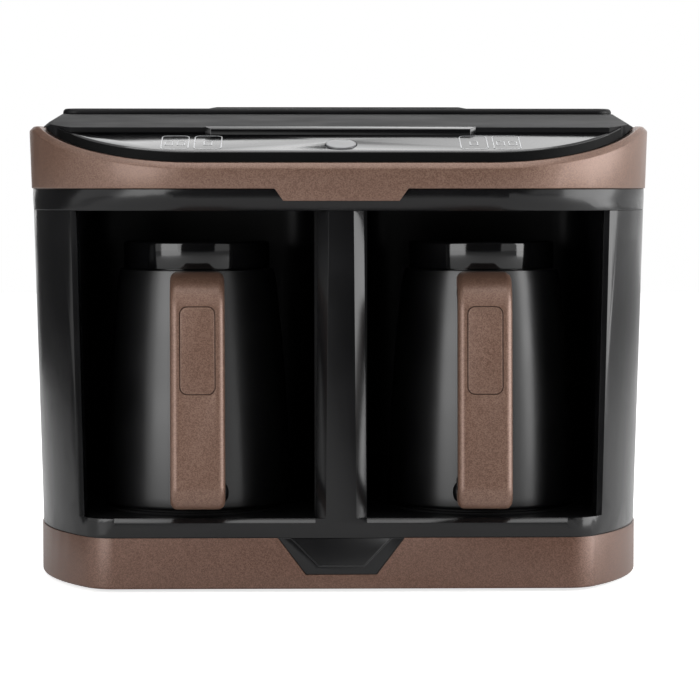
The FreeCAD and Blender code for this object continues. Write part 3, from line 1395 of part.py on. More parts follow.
def make_pot(name, side, turn):
    label = name.lower() + "_"
    spin = Rotation(Vector(0, 0, 1), turn)
    across, along, low = side * size.pot_apart, size.pot_setback, size.pot_low

    def stand(target, node, up=0):
        return keep(target, label + node, across, along, low + up, spin)

    stand(turned_body(name + "PotBody", pot_outline(True)), "pot_body")
    stand(cylinder(name + "PotDisc", size.pot_base_radius, size.pot_base_thick), "pot_disc")

    lid, wall, tall, edge = size.lid_radius, size.lid_wall, size.lid_tall, size.lid_edge
    plug, deep = size.plug_radius, size.plug_deep
    lid_edges = loop((0, tall), (lid - edge, tall), (lid, tall - edge), (lid, 0), (plug, 0),
                     (plug, -size.seal_top), (plug - size.seal_groove, -size.seal_top),
                     (plug - size.seal_groove, -(size.seal_top + size.seal_thick)),
                     (plug, -(size.seal_top + size.seal_thick)), (plug, -deep), (plug - wall * 1.5, -deep),
                     (plug - wall * 1.5, tall - wall), (0, tall - wall))
    lid_up = size.pot_tall + size.fit_gap
    stand(turned_body(name + "Lid", lid_edges), "lid", lid_up)
    seal_out = size.mouth_radius - size.fit_gap
    seal = loop((plug - size.seal_groove, -size.seal_top), (seal_out, -size.seal_top),
                (seal_out, -(size.seal_top + size.seal_thick)),
                (plug - size.seal_groove, -(size.seal_top + size.seal_thick)))
    stand(turned_body(name + "LidSeal", seal), "lid_seal", lid_up)

    core_depth = size.handle_thick - size.handle_core
    parts = (("Grip", 0, core_depth, True, "handle_shell"),
             ("Core", core_depth, size.handle_thick, False, "handle_core"))
    for part_name, outer, inner, soft_outer, node in parts:
        part = make_handle_part(name + part_name, measure(outer), measure(inner), soft_outer)
        solid = turned_body(name + part_name + "PotSolid", pot_outline(False))
        cut_away(part, solid, "PotFace")
        pin_hole = sketch(part, "YZ_Plane", "PinHole")
        circle(pin_hole, -size.boss_reach, size.boss_high, size.boss_radius + size.pilot_gap)
        through(part, pin_hole, "PinHoleCut")
        if soft_outer:
            pocket(part, inset_sketch(part, "InsetRoom", size.inset_gap), size.inset_deep, "InsetRoomCut")
        stand(part, node)
    plate = new_body(name + "Inset")
    pad(plate, inset_sketch(plate, "InsetPlate", measure(0)), size.inset_deep, "InsetBody", Reversed=True)
    stand(plate, "handle_inset")
    pin = cylinder(name + "Pin", size.boss_radius, size.boss_half * 2, -size.boss_half,
                   -size.boss_reach, size.boss_high, Vector(1, 0, 0))
    stand(group(name + "PinWhole", [pin]), "handle_pin")


make_base_shell()
make_notch_plate()
make_bottom_cover()
make_base_fasteners()
make_front_frame()
make_rear_cover()
make_rear_fasteners()
make_floor_tray()
for name, side in (("Left", -1), ("Right", 1)):
    make_bay_liner(name, side)
    make_heater(name, side)
make_fuses()
make_head_tray()
make_top_band()
make_control_panel()
make_top_cover()
make_rear_deck()
make_cover_strip()
make_button()
make_button_spring()
make_touch_board()
make_power_board()
make_pot("Left", -1, size.pot_turn.number)
make_pot("Right", 1, -size.pot_turn.number)

doc.recompute()
for item in doc.Objects:
    assert not set(item.State) & {"Invalid", "Error"}, item.Name
for piece in pieces:
    assert not piece.Shape.isNull() and piece.Shape.isValid(), piece.Label
    piece.Shape.exportStep("parts/%s.step" % piece.Label)
print(len(pieces), "pieces")
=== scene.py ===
import bmesh
import bpy
import json
import math
from mathutils import Matrix, Vector


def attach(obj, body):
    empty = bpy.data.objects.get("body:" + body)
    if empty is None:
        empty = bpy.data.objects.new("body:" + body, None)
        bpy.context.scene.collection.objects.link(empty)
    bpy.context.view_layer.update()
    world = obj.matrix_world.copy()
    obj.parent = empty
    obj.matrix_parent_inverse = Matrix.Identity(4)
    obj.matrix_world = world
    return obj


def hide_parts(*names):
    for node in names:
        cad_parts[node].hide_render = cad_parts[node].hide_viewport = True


# Coffee maker with two pots: looks, lights and camera round the CAD frame. Metres, +Z up, front towards -Y.

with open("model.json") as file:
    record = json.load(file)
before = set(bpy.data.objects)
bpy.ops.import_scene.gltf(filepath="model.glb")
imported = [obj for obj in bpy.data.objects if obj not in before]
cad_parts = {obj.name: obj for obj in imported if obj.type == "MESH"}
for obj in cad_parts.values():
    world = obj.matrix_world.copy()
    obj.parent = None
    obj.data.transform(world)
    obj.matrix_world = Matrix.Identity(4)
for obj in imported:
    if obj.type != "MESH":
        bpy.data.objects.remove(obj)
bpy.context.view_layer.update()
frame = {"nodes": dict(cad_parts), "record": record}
millimetre = 0.001
bandFront = -0.0985  # where the painted band's front is


def toLinear(hexValue, alpha=1.0):
    channels = [int(hexValue[start:start + 2], 16) / 255 for start in (1, 3, 5)]
    return [value / 12.92 if value <= 0.04045 else ((value + 0.055) / 1.055) ** 2.4
            for value in channels] + [alpha]


def addNode(tree, kind, settings=None, links=None):
    # One shader node with its settings, the stops of its ramp where it has one, and links into its inputs.
    node = tree.nodes.new("ShaderNode" + kind)
    for key, value in (settings or {}).items():
        if key == "stops":
            for element, (position, colour) in zip(node.color_ramp.elements, value):
                element.position = position
                element.color = colour
        elif isinstance(key, int) or key in node.inputs:
            node.inputs[key].default_value = value
        else:
            setattr(node, key, value)
    for key, source in (links or {}).items():
        tree.links.new(source, node.inputs[key])
    return node


def startMaterial(name, settings):
    # A Principled surface with the uniform values on its own sockets.
    material = bpy.data.materials.new(name)
    material.use_nodes = True
    tree = material.node_tree
    shader = tree.nodes["Principled BSDF"]
    for key, value in settings.items():
        shader.inputs[key].default_value = value
    place = addNode(tree, "TexCoord").outputs["Object"]
    return material, tree, shader, place


def finishSurface(tree, shader, colour, roughness, normal):
    for name, source in (("Base Color", colour), ("Roughness", roughness), ("Normal", normal)):
        tree.links.new(source, shader.inputs[name])


def perMillimetre(size):
    # The texture scale that gives a pattern of this size, in millimetres.
    return 1 / (size * millimetre)


bumpHeight = 0.2 * millimetre  # for every surface, scaled by its own bump


# Metallic paint sprayed on moulded ABS: it gives the eye a fine sparkle under a soft broad sheen.
# Real flakes are too fine to show at this size, so they are drawn 0.38 mm wide. Sizes are in millimetres.
bronze = {"base": "#6e5244", "light": "#917565", "dark": "#54392d", "metallic": 0.35, "roughness": 0.42,
          "smoother": 0.07, "rougher": 0.08, "coat": 0.3, "coatRoughness": 0.34, "flake": 0.38, "grain": 0.9,
          "cloud": 45.0, "bump": 0.06, "flakeShare": 0.55, "cloudShare": 0.25, "cloudDark": "#d8d2ce",
          "cloudLight": "#ffffff"}
paintedShadeBase = {"base": "#5f4236", "light": "#7f6152", "dark": "#48301f"}  # painted shade: the base's paint is darker, standing in for the weaker light near the floor


def makeBronzePaint(name, paint):
    material, tree, shader, place = startMaterial(name, {"Metallic": paint["metallic"],
                                                         "Coat Weight": paint["coat"],
                                                         "Coat Roughness": paint["coatRoughness"]})
    flakes = addNode(tree, "TexVoronoi", {"Scale": perMillimetre(paint["flake"]), "feature": "F1"},
                     {"Vector": place})
    grain = addNode(tree, "TexNoise", {"Scale": perMillimetre(paint["grain"]), "Detail": 3.0},
                    {"Vector": place})
    cloud = addNode(tree, "TexNoise", {"Scale": perMillimetre(paint["cloud"]), "Detail": 2.0},
                    {"Vector": place})
    flakeTone = addNode(tree, "SeparateColor", links={"Color": flakes.outputs["Color"]}).outputs["Red"]
    flakeColour = addNode(tree, "ValToRGB", {"stops": ((0.1, toLinear(paint["dark"])),
                                                       (0.95, toLinear(paint["light"])))},
                          {"Fac": flakeTone})
    cloudTone = addNode(tree, "ValToRGB", {"stops": ((0.3, toLinear(paint["cloudDark"])),
                                                     (0.7, toLinear(paint["cloudLight"])))},
                        {"Fac": cloud.outputs["Fac"]})
    mixed = addNode(tree, "Mix", {"data_type": "RGBA", 0: paint["flakeShare"], 7: toLinear(paint["base"])},
                    {6: flakeColour.outputs["Color"]})
    toned = addNode(tree, "Mix", {"data_type": "RGBA", "blend_type": "MULTIPLY", 0: paint["cloudShare"]},
                    {6: mixed.outputs[2], 7: cloudTone.outputs["Color"]})
    rough = addNode(tree, "MapRange", {"To Min": paint["roughness"] - paint["smoother"],
                                       "To Max": paint["roughness"] + paint["rougher"]},
                    {"Value": flakeTone})
    bump = addNode(tree, "Bump", {"Strength": paint["bump"], "Distance": bumpHeight},
                   {"Height": grain.outputs["Fac"]})
    finishSurface(tree, shader, toned.outputs[2], rough.outputs["Result"], bump.outputs["Normal"])
    return material


mouldCloud = 30.0  # millimetres across the slow change of tone in a moulded wall


def makeMoulded(name, colour, second, roughness, grain, bump, settings=None, spread=0.05):
    # Moulded or coated: one colour with a little variation, and a bump from the surface of the mould.
    material, tree, shader, place = startMaterial(name, settings or {})
    wide = addNode(tree, "TexNoise", {"Scale": perMillimetre(mouldCloud), "Detail": 2.0}, {"Vector": place})
    fine = addNode(tree, "TexNoise", {"Scale": perMillimetre(grain), "Detail": 2.0}, {"Vector": place})
    tone = addNode(tree, "ValToRGB", {"stops": ((0.35, toLinear(colour)), (0.65, toLinear(second)))},
                   {"Fac": wide.outputs["Fac"]})
    rough = addNode(tree, "MapRange", {"From Min": 0.3, "From Max": 0.7, "To Min": roughness - spread,
                                       "To Max": roughness + spread}, {"Value": wide.outputs["Fac"]})
    made = addNode(tree, "Bump", {"Strength": bump, "Distance": bumpHeight}, {"Height": fine.outputs["Fac"]})
    finishSurface(tree, shader, tone.outputs["Color"], rough.outputs["Result"], made.outputs["Normal"])
    return material


metalSurface = {"smoother": 0.06, "rougher": 0.08, "bump": 0.08}


def makeMetal(name, colour, second, roughness, streak, stretch):
    # Turned or brushed: streaks along one axis, in the colour, the shine and the bump.
    material, tree, shader, place = startMaterial(name, {"Metallic": 1.0})
    mapping = addNode(tree, "Mapping", {"Scale": stretch}, {"Vector": place})
    streaks = addNode(tree, "TexNoise", {"Scale": perMillimetre(streak), "Detail": 3.0},
                      {"Vector": mapping.outputs["Vector"]}).outputs["Fac"]
    tone = addNode(tree, "ValToRGB", {"stops": ((0.3, toLinear(colour)), (0.7, toLinear(second)))},
                   {"Fac": streaks})
    rough = addNode(tree, "MapRange", {"From Min": 0.3, "From Max": 0.7,
                                       "To Min": roughness - metalSurface["smoother"],
                                       "To Max": roughness + metalSurface["rougher"]}, {"Value": streaks})
    made = addNode(tree, "Bump", {"Strength": metalSurface["bump"], "Distance": bumpHeight},
                   {"Height": streaks})
    finishSurface(tree, shader, tone.outputs["Color"], rough.outputs["Result"], made.outputs["Normal"])
    return material


bronzePaint = makeBronzePaint("bronzeMetallicPaint", bronze)
# A darker copy of the bronze paint for the base: painted shade for the light that falls off low down.
shadedBaseBronze = makeBronzePaint("lowerBronzePaint", {**bronze, **paintedShadeBase})
# ABS from a polished mould: dark skins with long soft reflections.
glossBlack = makeMoulded("glossMouldedAbs", "#0e0e0f", "#121213", 0.2, 6.0, 0.02,
                         {"Specular IOR Level": 0.36}, 0.03)
# Polypropylene from a mirror-polished mould: lids with crisp bright bands.
polishedBlack = makeMoulded("polishedMouldedPp", "#070708", "#0a0a0b", 0.09, 8.0, 0.01,
                            {"Specular IOR Level": 0.5}, 0.02)
# Polypropylene from a fine textured mould: liners and handle cores that stay dark from every side.
satinBlack = makeMoulded("satinMouldedPp", "#050506", "#08080a", 0.45, 0.8, 0.12,
                         {"Specular IOR Level": 0.2})
# Polished polycarbonate over black: a plate that turns pale grey when it is seen at a low angle.
panelGloss = makeMoulded("polishedPolycarbonate", "#060607", "#08080a", 0.16, 8.0, 0.01,
                         {"IOR": 1.58}, 0.02)
# ABS from a textured mould: an even, dull dark grey.
coverGrey = makeMoulded("mouldedAbsCover", "#0e0e0f", "#121213", 0.6, 0.9, 0.12,
                        {"Specular IOR Level": 0.1})
# Upright wall of the panel, satin from its mould: darker and duller than the plate, painted shade as a black
# line between plate and band.
uprightWallPaintedShade = makeMoulded("satinPanelWall", "#020202", "#040404", 0.6, 1.5, 0.05,
                        {"Specular IOR Level": 0.08})
# Screen-printed ink: thin flat light lines.
printedGrey = makeMoulded("printedInk", "#c2c3c5", "#cccdcf", 0.4, 1.0, 0.02)
# Coating baked on a spun pot: one broad soft streak down each side of the round wall.
potCoating = makeMoulded("bakedPotCoating", "#0a0a0b", "#0e0e0f", 0.33, 3.0, 0.03,
                         {"Coat Weight": 0.15, "Coat Roughness": 0.2}, 0.03)
# Smoke-grey moulded polycarbonate: a button that lies close to the plate's own grey.
smokyButton = makeMoulded("smokyButtonPlastic", "#5c5c5e", "#66666a", 0.3, 1.5, 0.03)
# Moulded rubber: feet and bushes with hardly any shine.
softRubber = makeMoulded("mouldedRubber", "#121213", "#18181a", 0.75, 0.7, 0.2)
# Moulded silicone: seals that make a dull black line.
silicone = makeMoulded("mouldedSilicone", "#0c0c0d", "#121213", 0.75, 1.0, 0.1,
                       {"Specular IOR Level": 0.12})
# Varnished glass-fibre board: green with a soft shine.
boardGreen = makeMoulded("varnishedCircuitBoard", "#0d3a20", "#12482a", 0.35, 1.2, 0.05)
# Moulded polyester: plain blue relay cases.
relayBlue = makeMoulded("mouldedRelayCase", "#16213f", "#1c2a4d", 0.35, 1.5, 0.05)
# Coating baked on the hot plates: black, with nothing bright under the pots.
plateCoating = makeMoulded("bakedPlateCoating", "#0b0b0c", "#121213", 0.6, 1.0, 0.08,
                           {"Specular IOR Level": 0.15})
# Brushed steel: fine streaks one way.
steel = makeMetal("brushedSteel", "#8f8f92", "#b5b5b8", 0.3, 1.2, (1.0, 12.0, 1.0))
# Zinc-plated steel: pale screws with a faint cloudiness.
zinc = makeMetal("zincPlatedSteel", "#9a9a9c", "#b4b4b0", 0.35, 0.8, (1.0, 1.0, 1.0))
# Turned aluminium: fine level rings.
turnedAluminium = makeMetal("turnedAluminium", "#a8a8aa", "#c6c6c8", 0.34, 1.0, (1.0, 1.0, 6.0))
# Varnished iron sheets in a stack: dark with fine level lines.
coreIron = makeMetal("varnishedCoreIron", "#3a3a3c", "#4c4c4e", 0.5, 0.7, (1.0, 1.0, 9.0))

slotMaterials = {
    "bronze_paint": bronzePaint, "gloss_black": glossBlack, "satin_black": satinBlack,
    "grey_plastic": coverGrey, "panel_black": panelGloss, "pot_enamel": potCoating, "steel": steel,
    "zinc_screw": zinc, "spring_steel": steel, "aluminium": turnedAluminium, "silicone": silicone,
    "black_rubber": softRubber, "clear_button": smokyButton, "circuit_board": boardGreen,
    "core_iron": coreIron, "relay_plastic": relayBlue, "can_aluminium": turnedAluminium}
ownMaterials = {"left_heating_plate": plateCoating, "right_heating_plate": plateCoating}
slotOf = {entry["node"]: entry["material_slot"] for entry in frame["record"]["subparts"]}
for nodeName, node in frame["nodes"].items():
    node.data.materials.clear()
    node.data.materials.append(ownMaterials.get(nodeName, slotMaterials[slotOf[nodeName]]))
print("materials set on", len(frame["nodes"]), "nodes")


def bodyOf(nodeName):
    return next(name for name, members in frame["record"]["behaviour"]["bodies"].items()
                if nodeName in members)


def newPiece(name, bm, nodeName, material=None, stands=True):
    # A finished mesh that rides with a CAD node's body and, where it stands for the node, hides it.
    if stands:
        bmesh.ops.recalc_face_normals(bm, faces=bm.faces)
    mesh = bpy.data.meshes.new(name)
    bm.to_mesh(mesh)
    bm.free()
    mesh.shade_smooth()
    mesh.materials.append(material or slotMaterials[slotOf[nodeName]])
    piece = bpy.data.objects.new(name, mesh)
    bpy.context.scene.collection.objects.link(piece)
    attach(piece, bodyOf(nodeName))
    if stands:
        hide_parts(nodeName)
    return piece


def sharpen(piece, degrees):
    # Edges steeper than this stay crisp under smooth shading.
    piece.data.set_sharp_from_angle(angle=math.radians(degrees))


# The cover's top falls away beyond "from" on both sides. Its slope runs from frontHigh up to rearHigh.
coverEnds = {"from": 0.1262, "fall": 0.6, "frontHigh": 0.1996, "rearHigh": 0.2065,
             "front": bandFront + 0.0277, "rear": bandFront + 0.103, "wall": 0.0032, "cut": 0.000001}


def slopeCoverEnds(bm):
    for sign in (-1, 1):
        bmesh.ops.bisect_plane(bm, geom=bm.verts[:] + bm.edges[:] + bm.faces[:], dist=coverEnds["cut"],
                               plane_co=(sign * coverEnds["from"], 0, 0), plane_no=(sign, 0, 0))
    rise = coverEnds["rearHigh"] - coverEnds["frontHigh"]
    for vert in bm.verts:
        share = (vert.co.y - coverEnds["front"]) / (coverEnds["rear"] - coverEnds["front"])
        level = coverEnds["frontHigh"] + rise * min(share, 1)
        beyond = abs(vert.co.x) - coverEnds["from"]
        if beyond > 0 and vert.co.z > level - coverEnds["wall"]:
            vert.co.z -= beyond * coverEnds["fall"]


deckNarrowing = 0.976  # share of the CAD deck's width


def narrowDeck(bm):
    bmesh.ops.scale(bm, vec=(deckNarrowing, 1, 1), verts=bm.verts)


strip = {"drop": 0.0011, "near": 0.0002}  # the front edge of the strip's top drops, as the panel slopes


def slopeStrip(bm):
    front = min(vert.co.y for vert in bm.verts)
    top = max(vert.co.z for vert in bm.verts)
    for vert in bm.verts:
        if vert.co.y < front + strip["near"] and vert.co.z > top - strip["near"]:
            vert.co.z -= strip["drop"]


# Casings: the CAD shape merged into clean faces, with its edges broken by this many millimetres.
casings = {"base_shell": 0.5, "notch_plate": 0.35, "front_frame": 0.5, "head_tray": 0.4, "top_band": 0.45,
           "top_cover": 0.5, "cover_strip": 0.25, "rear_deck": 0.2, "bottom_cover": 0.3,
           "rear_cover": 0.4, "control_panel": 0.3}
# The base shell takes the darker bronze, which carries painted shade.
finishes = {"base_shell": shadedBaseBronze, "cover_strip": panelGloss}
shaping = {"top_cover": slopeCoverEnds, "rear_deck": narrowDeck, "cover_strip": slopeStrip}
moulding = {"merge": 0.00001, "flatWithin": 0.6, "sharpBeyond": 35, "segments": 3, "uprightBelow": 0.3}


def makeCasing(nodeName, width):
    bm = bmesh.new()
    bm.from_mesh(frame["nodes"][nodeName].data)
    bmesh.ops.remove_doubles(bm, verts=bm.verts, dist=moulding["merge"])
    bmesh.ops.dissolve_limit(bm, angle_limit=math.radians(moulding["flatWithin"]), verts=bm.verts,
                             edges=bm.edges)
    if nodeName in shaping:
        shaping[nodeName](bm)
    piece = newPiece(nodeName.replace("_", "") + "Dressed", bm, nodeName, finishes.get(nodeName))
    bevel = piece.modifiers.new("brokenEdges", "BEVEL")
    bevel.width = width * millimetre
    bevel.segments = moulding["segments"]
    bevel.limit_method = "ANGLE"
    bevel.angle_limit = math.radians(moulding["sharpBeyond"])
    bevel.use_clamp_overlap = True
    bevel.harden_normals = True
    return piece


for nodeName, width in casings.items():
    made = makeCasing(nodeName, width)
    # The panel's upright faces take the darker wall material: painted shade on the faces turned to the front.
    if nodeName == "control_panel":
        made.data.materials.append(uprightWallPaintedShade)
        for face in made.data.polygons:
            face.material_index = int(abs(face.normal.z) < moulding["uprightBelow"])
print("casings dressed")


def spun(profile, steps):
    # A closed turned shape from the half section (radius, height).
    bm = bmesh.new()
    verts = [bm.verts.new((radius, 0, height)) for radius, height in profile]
    edges = [bm.edges.new(pair) for pair in zip(verts, verts[1:])]
    bmesh.ops.spin(bm, geom=verts + edges, cent=(0, 0, 0), axis=(0, 0, 1), angle=math.tau,
                   steps=steps, use_merge=True)
    bmesh.ops.remove_doubles(bm, verts=bm.verts, dist=0.000005)
    return bm


def rounding(profile, corner, radius, steps=4):
    # The same section with one corner rounded by an arc.
    before, point, after = [Vector(profile[(corner + shift) % len(profile)]) for shift in (-1, 0, 1)]
    start = point + (before - point).normalized() * radius
    end = point + (after - point).normalized() * radius
    arc = []
    for index in range(steps + 1):
        share = index / steps
        arc.append(tuple(start * (1 - share) ** 2 + point * 2 * share * (1 - share) + end * share ** 2))
    return profile[:corner] + arc + profile[corner + 1:]


# A pot, turned about its own axis. "disc" is the recess under it, "opening" the hole that takes the lid,
# "rimBreak" the small chamfer inside the rim, and the two lip values are shares of the edge.
pot = {"apart": 0.0634, "axisBack": 0.066, "low": 0.0331, "foot": 0.0415, "waist": 0.0395,
       "mouth": 0.0346, "tall": 0.104, "wall": 0.0012, "edge": 0.0016, "opening": 0.0302,
       "base": 0.0026, "disc": 0.037, "steps": 128, "sideSteps": 20, "rimBreak": 0.0004,
       "lipIn": 0.25, "lipDown": 0.3, "underRim": 1.6}
turns = {"left": 2.2, "right": -2.2}  # degrees that each pot is turned towards the middle


def atPot(bm, side):
    sign = -1 if side == "left" else 1
    place = Matrix.Translation((sign * pot["apart"], bandFront + pot["axisBack"], pot["low"]))
    bm.transform(place @ Matrix.Rotation(math.radians(turns[side]), 4, "Z"))


def sideRadius(share):
    # The radius of the pot's bulging side, at a share of its height.
    foot, waist, mouth = pot["foot"], pot["waist"], pot["mouth"]
    bulge = waist - (foot + mouth) / 2
    return foot + (mouth - foot) * share + 4 * bulge * share * (1 - share)


def makePotBody(side):
    tall, wall, edge, base = pot["tall"], pot["wall"], pot["edge"], pot["base"]
    mouth, opening, rimBreak, count = pot["mouth"], pot["opening"], pot["rimBreak"], pot["sideSteps"]
    sidePoints = [(sideRadius(index / count), tall * index / count) for index in range(count + 1)]
    outer = rounding([(pot["disc"], base), (pot["disc"], 0)] + sidePoints, 2, edge)[:-1]
    rim = [(mouth - edge * pot["lipIn"], tall - edge * pot["lipDown"]), (mouth - edge, tall),
           (opening + rimBreak, tall), (opening, tall - rimBreak), (opening, tall - wall),
           (mouth - wall - edge, tall - wall * pot["underRim"])]
    inner = [(radius - wall, height) for radius, height in reversed(sidePoints)
             if base + wall + edge < height < tall - wall - edge]
    floorPoints = [(sideRadius(0) - wall - edge * 2, base + wall), (0.0, base + wall)]
    bm = spun([(0.0, base)] + outer + rim + inner + floorPoints, pot["steps"])
    atPot(bm, side)
    sharpen(newPiece(side + "PotDressed", bm, side + "_pot_body"), 40)


lid = {"radius": 0.0324, "tall": 0.012, "edge": 0.0014, "edgeSteps": 6, "wall": 0.002, "plug": 0.0288,
       "plugWall": 0.003, "deep": 0.006, "groove": 0.001, "sealTop": 0.0016, "seal": 0.0024,
       "lowEdge": 0.0004, "lowSteps": 2, "gap": 0.0003}


def makeLid(side):
    tall, plug, inside = lid["tall"], lid["plug"], lid["plug"] - lid["plugWall"]
    sealHigh, sealLow = -lid["sealTop"], -lid["sealTop"] - lid["seal"]
    profile = [(0.0, tall), (lid["radius"], tall), (lid["radius"], 0.0), (plug, 0.0), (plug, sealHigh),
               (plug - lid["groove"], sealHigh), (plug - lid["groove"], sealLow), (plug, sealLow),
               (plug, -lid["deep"]), (inside, -lid["deep"]), (inside, tall - lid["wall"]),
               (0.0, tall - lid["wall"])]
    profile = rounding(profile, 2, lid["lowEdge"], lid["lowSteps"])
    profile = rounding(profile, 1, lid["edge"], lid["edgeSteps"])
    bm = spun(profile, pot["steps"])
    bm.transform(Matrix.Translation((0, 0, pot["tall"] + lid["gap"])))
    atPot(bm, side)
    sharpen(newPiece(side + "LidDressed", bm, side + "_lid", polishedBlack), 40)


for side in turns:
    makePotBody(side)
    makeLid(side)
print("pots and lids turned")


handleEdges = {"handle_shell": 0.25, "handle_core": 0.2, "handle_inset": 0.35}  # millimetres, as for casings
# The cross pin stands out with a dome on the side towards the middle and ends inside the handle's other side.
pin = {"radius": 0.0041, "inner": 0.0133, "outer": 0.01, "reach": 0.0465, "high": 0.0086, "dome": 0.0022,
       "domeSteps": 8, "steps": 48}


def makePin(side):
    inward = 1 if side == "left" else -1
    radius, dome, inner, outer = pin["radius"], pin["dome"], pin["inner"], pin["outer"]
    profile = [(0.0, -outer), (radius, -outer)]
    for index in range(pin["domeSteps"]):
        turn = math.radians(90 * index / pin["domeSteps"])
        profile.append((radius * math.cos(turn), inner - dome + dome * math.sin(turn)))
    bm = spun(profile + [(0.0, inner)], pin["steps"])
    bm.transform(Matrix.Translation((0, -pin["reach"], pin["high"]))
                 @ Matrix.Rotation(math.radians(90 * inward), 4, "Y"))
    atPot(bm, side)
    sharpen(newPiece(side + "PinDressed", bm, side + "_handle_pin", satinBlack), 50)


for side in turns:
    for part, width in handleEdges.items():
        makeCasing(side + "_" + part, width)
for side in turns:
    makePin(side)
print("handles dressed")


# Two groups of plain printed boxes on the panel, thin light lines a hair above the clear plate. The outermost
# box of each group holds two small ones and the other box holds one. The panel is frontHigh at panelFront.
icons = {"middles": (-0.0705, -0.0565, 0.0565, 0.0705), "wide": 0.0118, "near": 0.0052, "far": 0.0232,
         "round": 0.0022, "steps": 6, "line": 0.0004, "lift": 0.0001,
         "slope": 18.0, "frontHigh": 0.1882, "panelFront": 0.0025}
small = {"wide": 0.0036, "deep": 0.006, "round": 0.0008, "steps": 3, "back": -0.0012, "pair": 0.0026}


def boxRing(bm, wide, deep, corner, steps, across=0.0, back=0.0):
    # A rounded box drawn as one thin closed line, flat on XY: a short edge spun round each of its corners.
    reach, depth = wide / 2 - corner, deep / 2 - corner
    ends = []
    for x, y, start in ((reach, depth, 0), (-reach, depth, 90), (-reach, -depth, 180), (reach, -depth, 270)):
        centre = Vector((across + x, back + y, 0))
        outward = Matrix.Rotation(math.radians(start), 3, "Z") @ Vector((1, 0, 0))
        pair = [bm.verts.new(centre + outward * radius) for radius in (corner, corner - icons["line"])]
        first = bm.edges.new(pair)
        swept = bmesh.ops.spin(bm, geom=pair + [first], cent=centre, axis=(0, 0, 1),
                               angle=math.radians(90), steps=steps)
        last = next(item for item in swept["geom_last"] if isinstance(item, bmesh.types.BMEdge))
        ends.append((first, last))
    for index, (first, last) in enumerate(ends):
        bmesh.ops.contextual_create(bm, geom=[last, ends[(index + 1) % len(ends)][0]])


def makeIcons():
    bm = bmesh.new()
    slope, lift = math.radians(icons["slope"]), icons["lift"]
    back = (icons["near"] + icons["far"]) / 2
    high = icons["frontHigh"] + (back - icons["panelFront"]) * math.tan(slope)
    deep = (icons["far"] - icons["near"]) / math.cos(slope)
    for index, middle in enumerate(icons["middles"]):
        start = len(bm.verts)
        boxRing(bm, icons["wide"], deep, icons["round"], icons["steps"])
        for across in ((-small["pair"], small["pair"]) if index in (0, 3) else (0.0,)):
            boxRing(bm, small["wide"], small["deep"], small["round"], small["steps"], across, small["back"])
        centre = Vector((middle, bandFront + back - lift * math.sin(slope), high + lift * math.cos(slope)))
        bm.verts.ensure_lookup_table()
        bmesh.ops.transform(bm, matrix=Matrix.Translation(centre) @ Matrix.Rotation(slope, 4, "X"),
                            verts=bm.verts[start:])
    bm.normal_update()
    bmesh.ops.reverse_faces(bm, faces=[face for face in bm.faces if face.normal.z < 0])
    newPiece("panelIcons", bm, "control_panel", printedGrey, stands=False)


makeIcons()
print("panel icons printed")


# Pale floor and white surroundings. "glow" whitens the floor for the camera, "glossyGlow" is the share of it
# that reflections see, and "world" is the level of the light that comes from all round.
stage = {"floor": "#f4f4f4", "roughness": 0.9, "size": 3.0, "glow": 0.75, "glossyGlow": 0.1, "world": 0.35}
white = (1, 1, 1, 1)


def plainMaterial(name, colour):
    material = bpy.data.materials.new(name)
    material.use_nodes = True
    shader = material.node_tree.nodes["Principled BSDF"]
    shader.inputs["Base Color"].default_value = toLinear(colour)
    shader.inputs["Roughness"].default_value = stage["roughness"]
    return material, material.node_tree, shader


def stageSheet(name, size, matrix, material):
    # A flat sheet of the studio, which is no part of the object.
    bm = bmesh.new()
    bmesh.ops.create_grid(bm, x_segments=1, y_segments=1, size=size)
    bm.transform(matrix)
    mesh = bpy.data.meshes.new(name)
    bm.to_mesh(mesh)
    bm.free()
    mesh.materials.append(material)
    sheet = bpy.data.objects.new(name, mesh)
    bpy.context.scene.collection.objects.link(sheet)
    return sheet


def makeFloor():
    material, tree, shader = plainMaterial("paleFloor", stage["floor"])
    rays = addNode(tree, "LightPath")
    dimmed = addNode(tree, "Math", {"operation": "MULTIPLY", 1: stage["glossyGlow"]},
                     {0: rays.outputs["Is Glossy Ray"]})
    seen = addNode(tree, "Math", {"operation": "MAXIMUM"}, {0: rays.outputs["Is Camera Ray"],
                                                           1: dimmed.outputs[0]})
    glow = addNode(tree, "Math", {"operation": "MULTIPLY", 1: stage["glow"]}, {0: seen.outputs[0]})
    shader.inputs["Emission Color"].default_value = white
    tree.links.new(glow.outputs[0], shader.inputs["Emission Strength"])
    stageSheet("studioFloor", stage["size"], Matrix.Identity(4), material)


def makeWorld():
    world = bpy.data.worlds.new("studioWorld")
    bpy.context.scene.world = world
    world.use_nodes = True
    tree = world.node_tree
    background = tree.nodes["Background"]
    background.inputs["Color"].default_value = white
    rays = addNode(tree, "LightPath")
    first = addNode(tree, "Math", {"operation": "MAXIMUM"}, {0: rays.outputs["Is Camera Ray"],
                                                            1: rays.outputs["Is Glossy Ray"]})
    seen = addNode(tree, "Math", {"operation": "MAXIMUM"}, {0: first.outputs[0],
                                                           1: rays.outputs["Is Transmission Ray"]})
    strength = addNode(tree, "MapRange", {"To Min": stage["world"], "To Max": 1.0},
                       {"Value": seen.outputs[0]})
    tree.links.new(strength.outputs["Result"], background.inputs["Strength"])


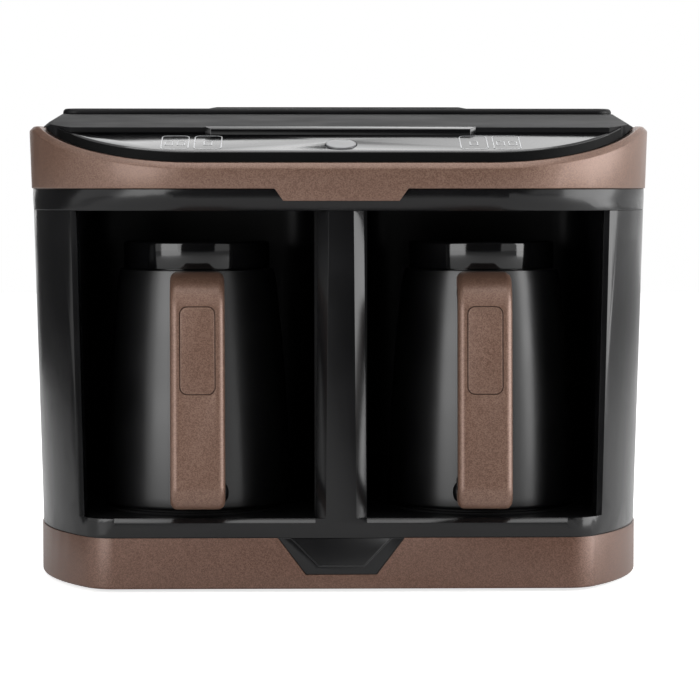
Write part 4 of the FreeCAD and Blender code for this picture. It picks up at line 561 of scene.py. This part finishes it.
lamps = {"leftSoftbox": {"place": (-0.8, -0.95, 0.3), "size": (0.7, 0.8), "power": 7.0},
         "rightSoftbox": {"place": (1.1, -0.3, 0.3), "size": (0.9, 0.8), "power": 12.0},
         "backSoftbox": {"place": (0.0, 0.95, 0.95), "size": (1.6, 0.5), "power": 3.7},
         "topSoftbox": {"place": (0.0, -0.25, 1.3), "size": (1.3, 0.35), "power": 5.0}}
aim = Vector((0, 0, 0.1))  # what every lamp and card faces


def makeLamps():
    for name, lamp in lamps.items():
        light = bpy.data.lights.new(name, "AREA")
        light.shape = "RECTANGLE"
        light.size, light.size_y = lamp["size"]
        light.energy = lamp["power"]
        made = bpy.data.objects.new(name, light)
        made.location = lamp["place"]
        made.rotation_euler = (aim - Vector(lamp["place"])).to_track_quat("-Z", "Y").to_euler()
        bpy.context.scene.collection.objects.link(made)


# Dark cards that only reflections see: they keep the fronts and the left edge of the black mouldings dark.
cards = {"frontCard": {"place": (0.0, -2.3, 0.6), "size": (2.6, 1.6)},
         "sideCard": {"place": (-0.75, 0.45, 0.4), "size": (1.1, 1.0)}}
cardColour = "#3c3c3c"


def makeCards():
    material = plainMaterial("blackCard", cardColour)[0]
    for name, card in cards.items():
        facing = (aim - Vector(card["place"])).to_track_quat("Z", "Y").to_matrix().to_4x4()
        matrix = Matrix.Translation(card["place"]) @ facing @ Matrix.Diagonal((*card["size"], 1, 1))
        sheet = stageSheet(name, 0.5, matrix, material)
        sheet.visible_camera = False
        sheet.visible_diffuse = False
        sheet.visible_shadow = False


makeFloor()
makeWorld()
makeLamps()
makeCards()

# The camera stands where the photograph's own stood. Pitch looks down and yaw turns to the left, in degrees.
eye = {"place": (-0.018, -1.1985, 0.174), "lens": 134.25, "sensor": 36.0, "pitch": 3.617, "yaw": -1.1225}
camera = bpy.data.cameras.new("photoCamera")
camera.lens = eye["lens"]
camera.sensor_width = eye["sensor"]
cameraObject = bpy.data.objects.new("photoCamera", camera)
cameraObject.location = eye["place"]
cameraObject.rotation_euler = (math.radians(90 - eye["pitch"]), 0, math.radians(eye["yaw"]))
bpy.context.scene.collection.objects.link(cameraObject)
bpy.context.scene.camera = cameraObject
bpy.context.scene.view_settings.view_transform = "Standard"
print("stage, lamps and camera set")
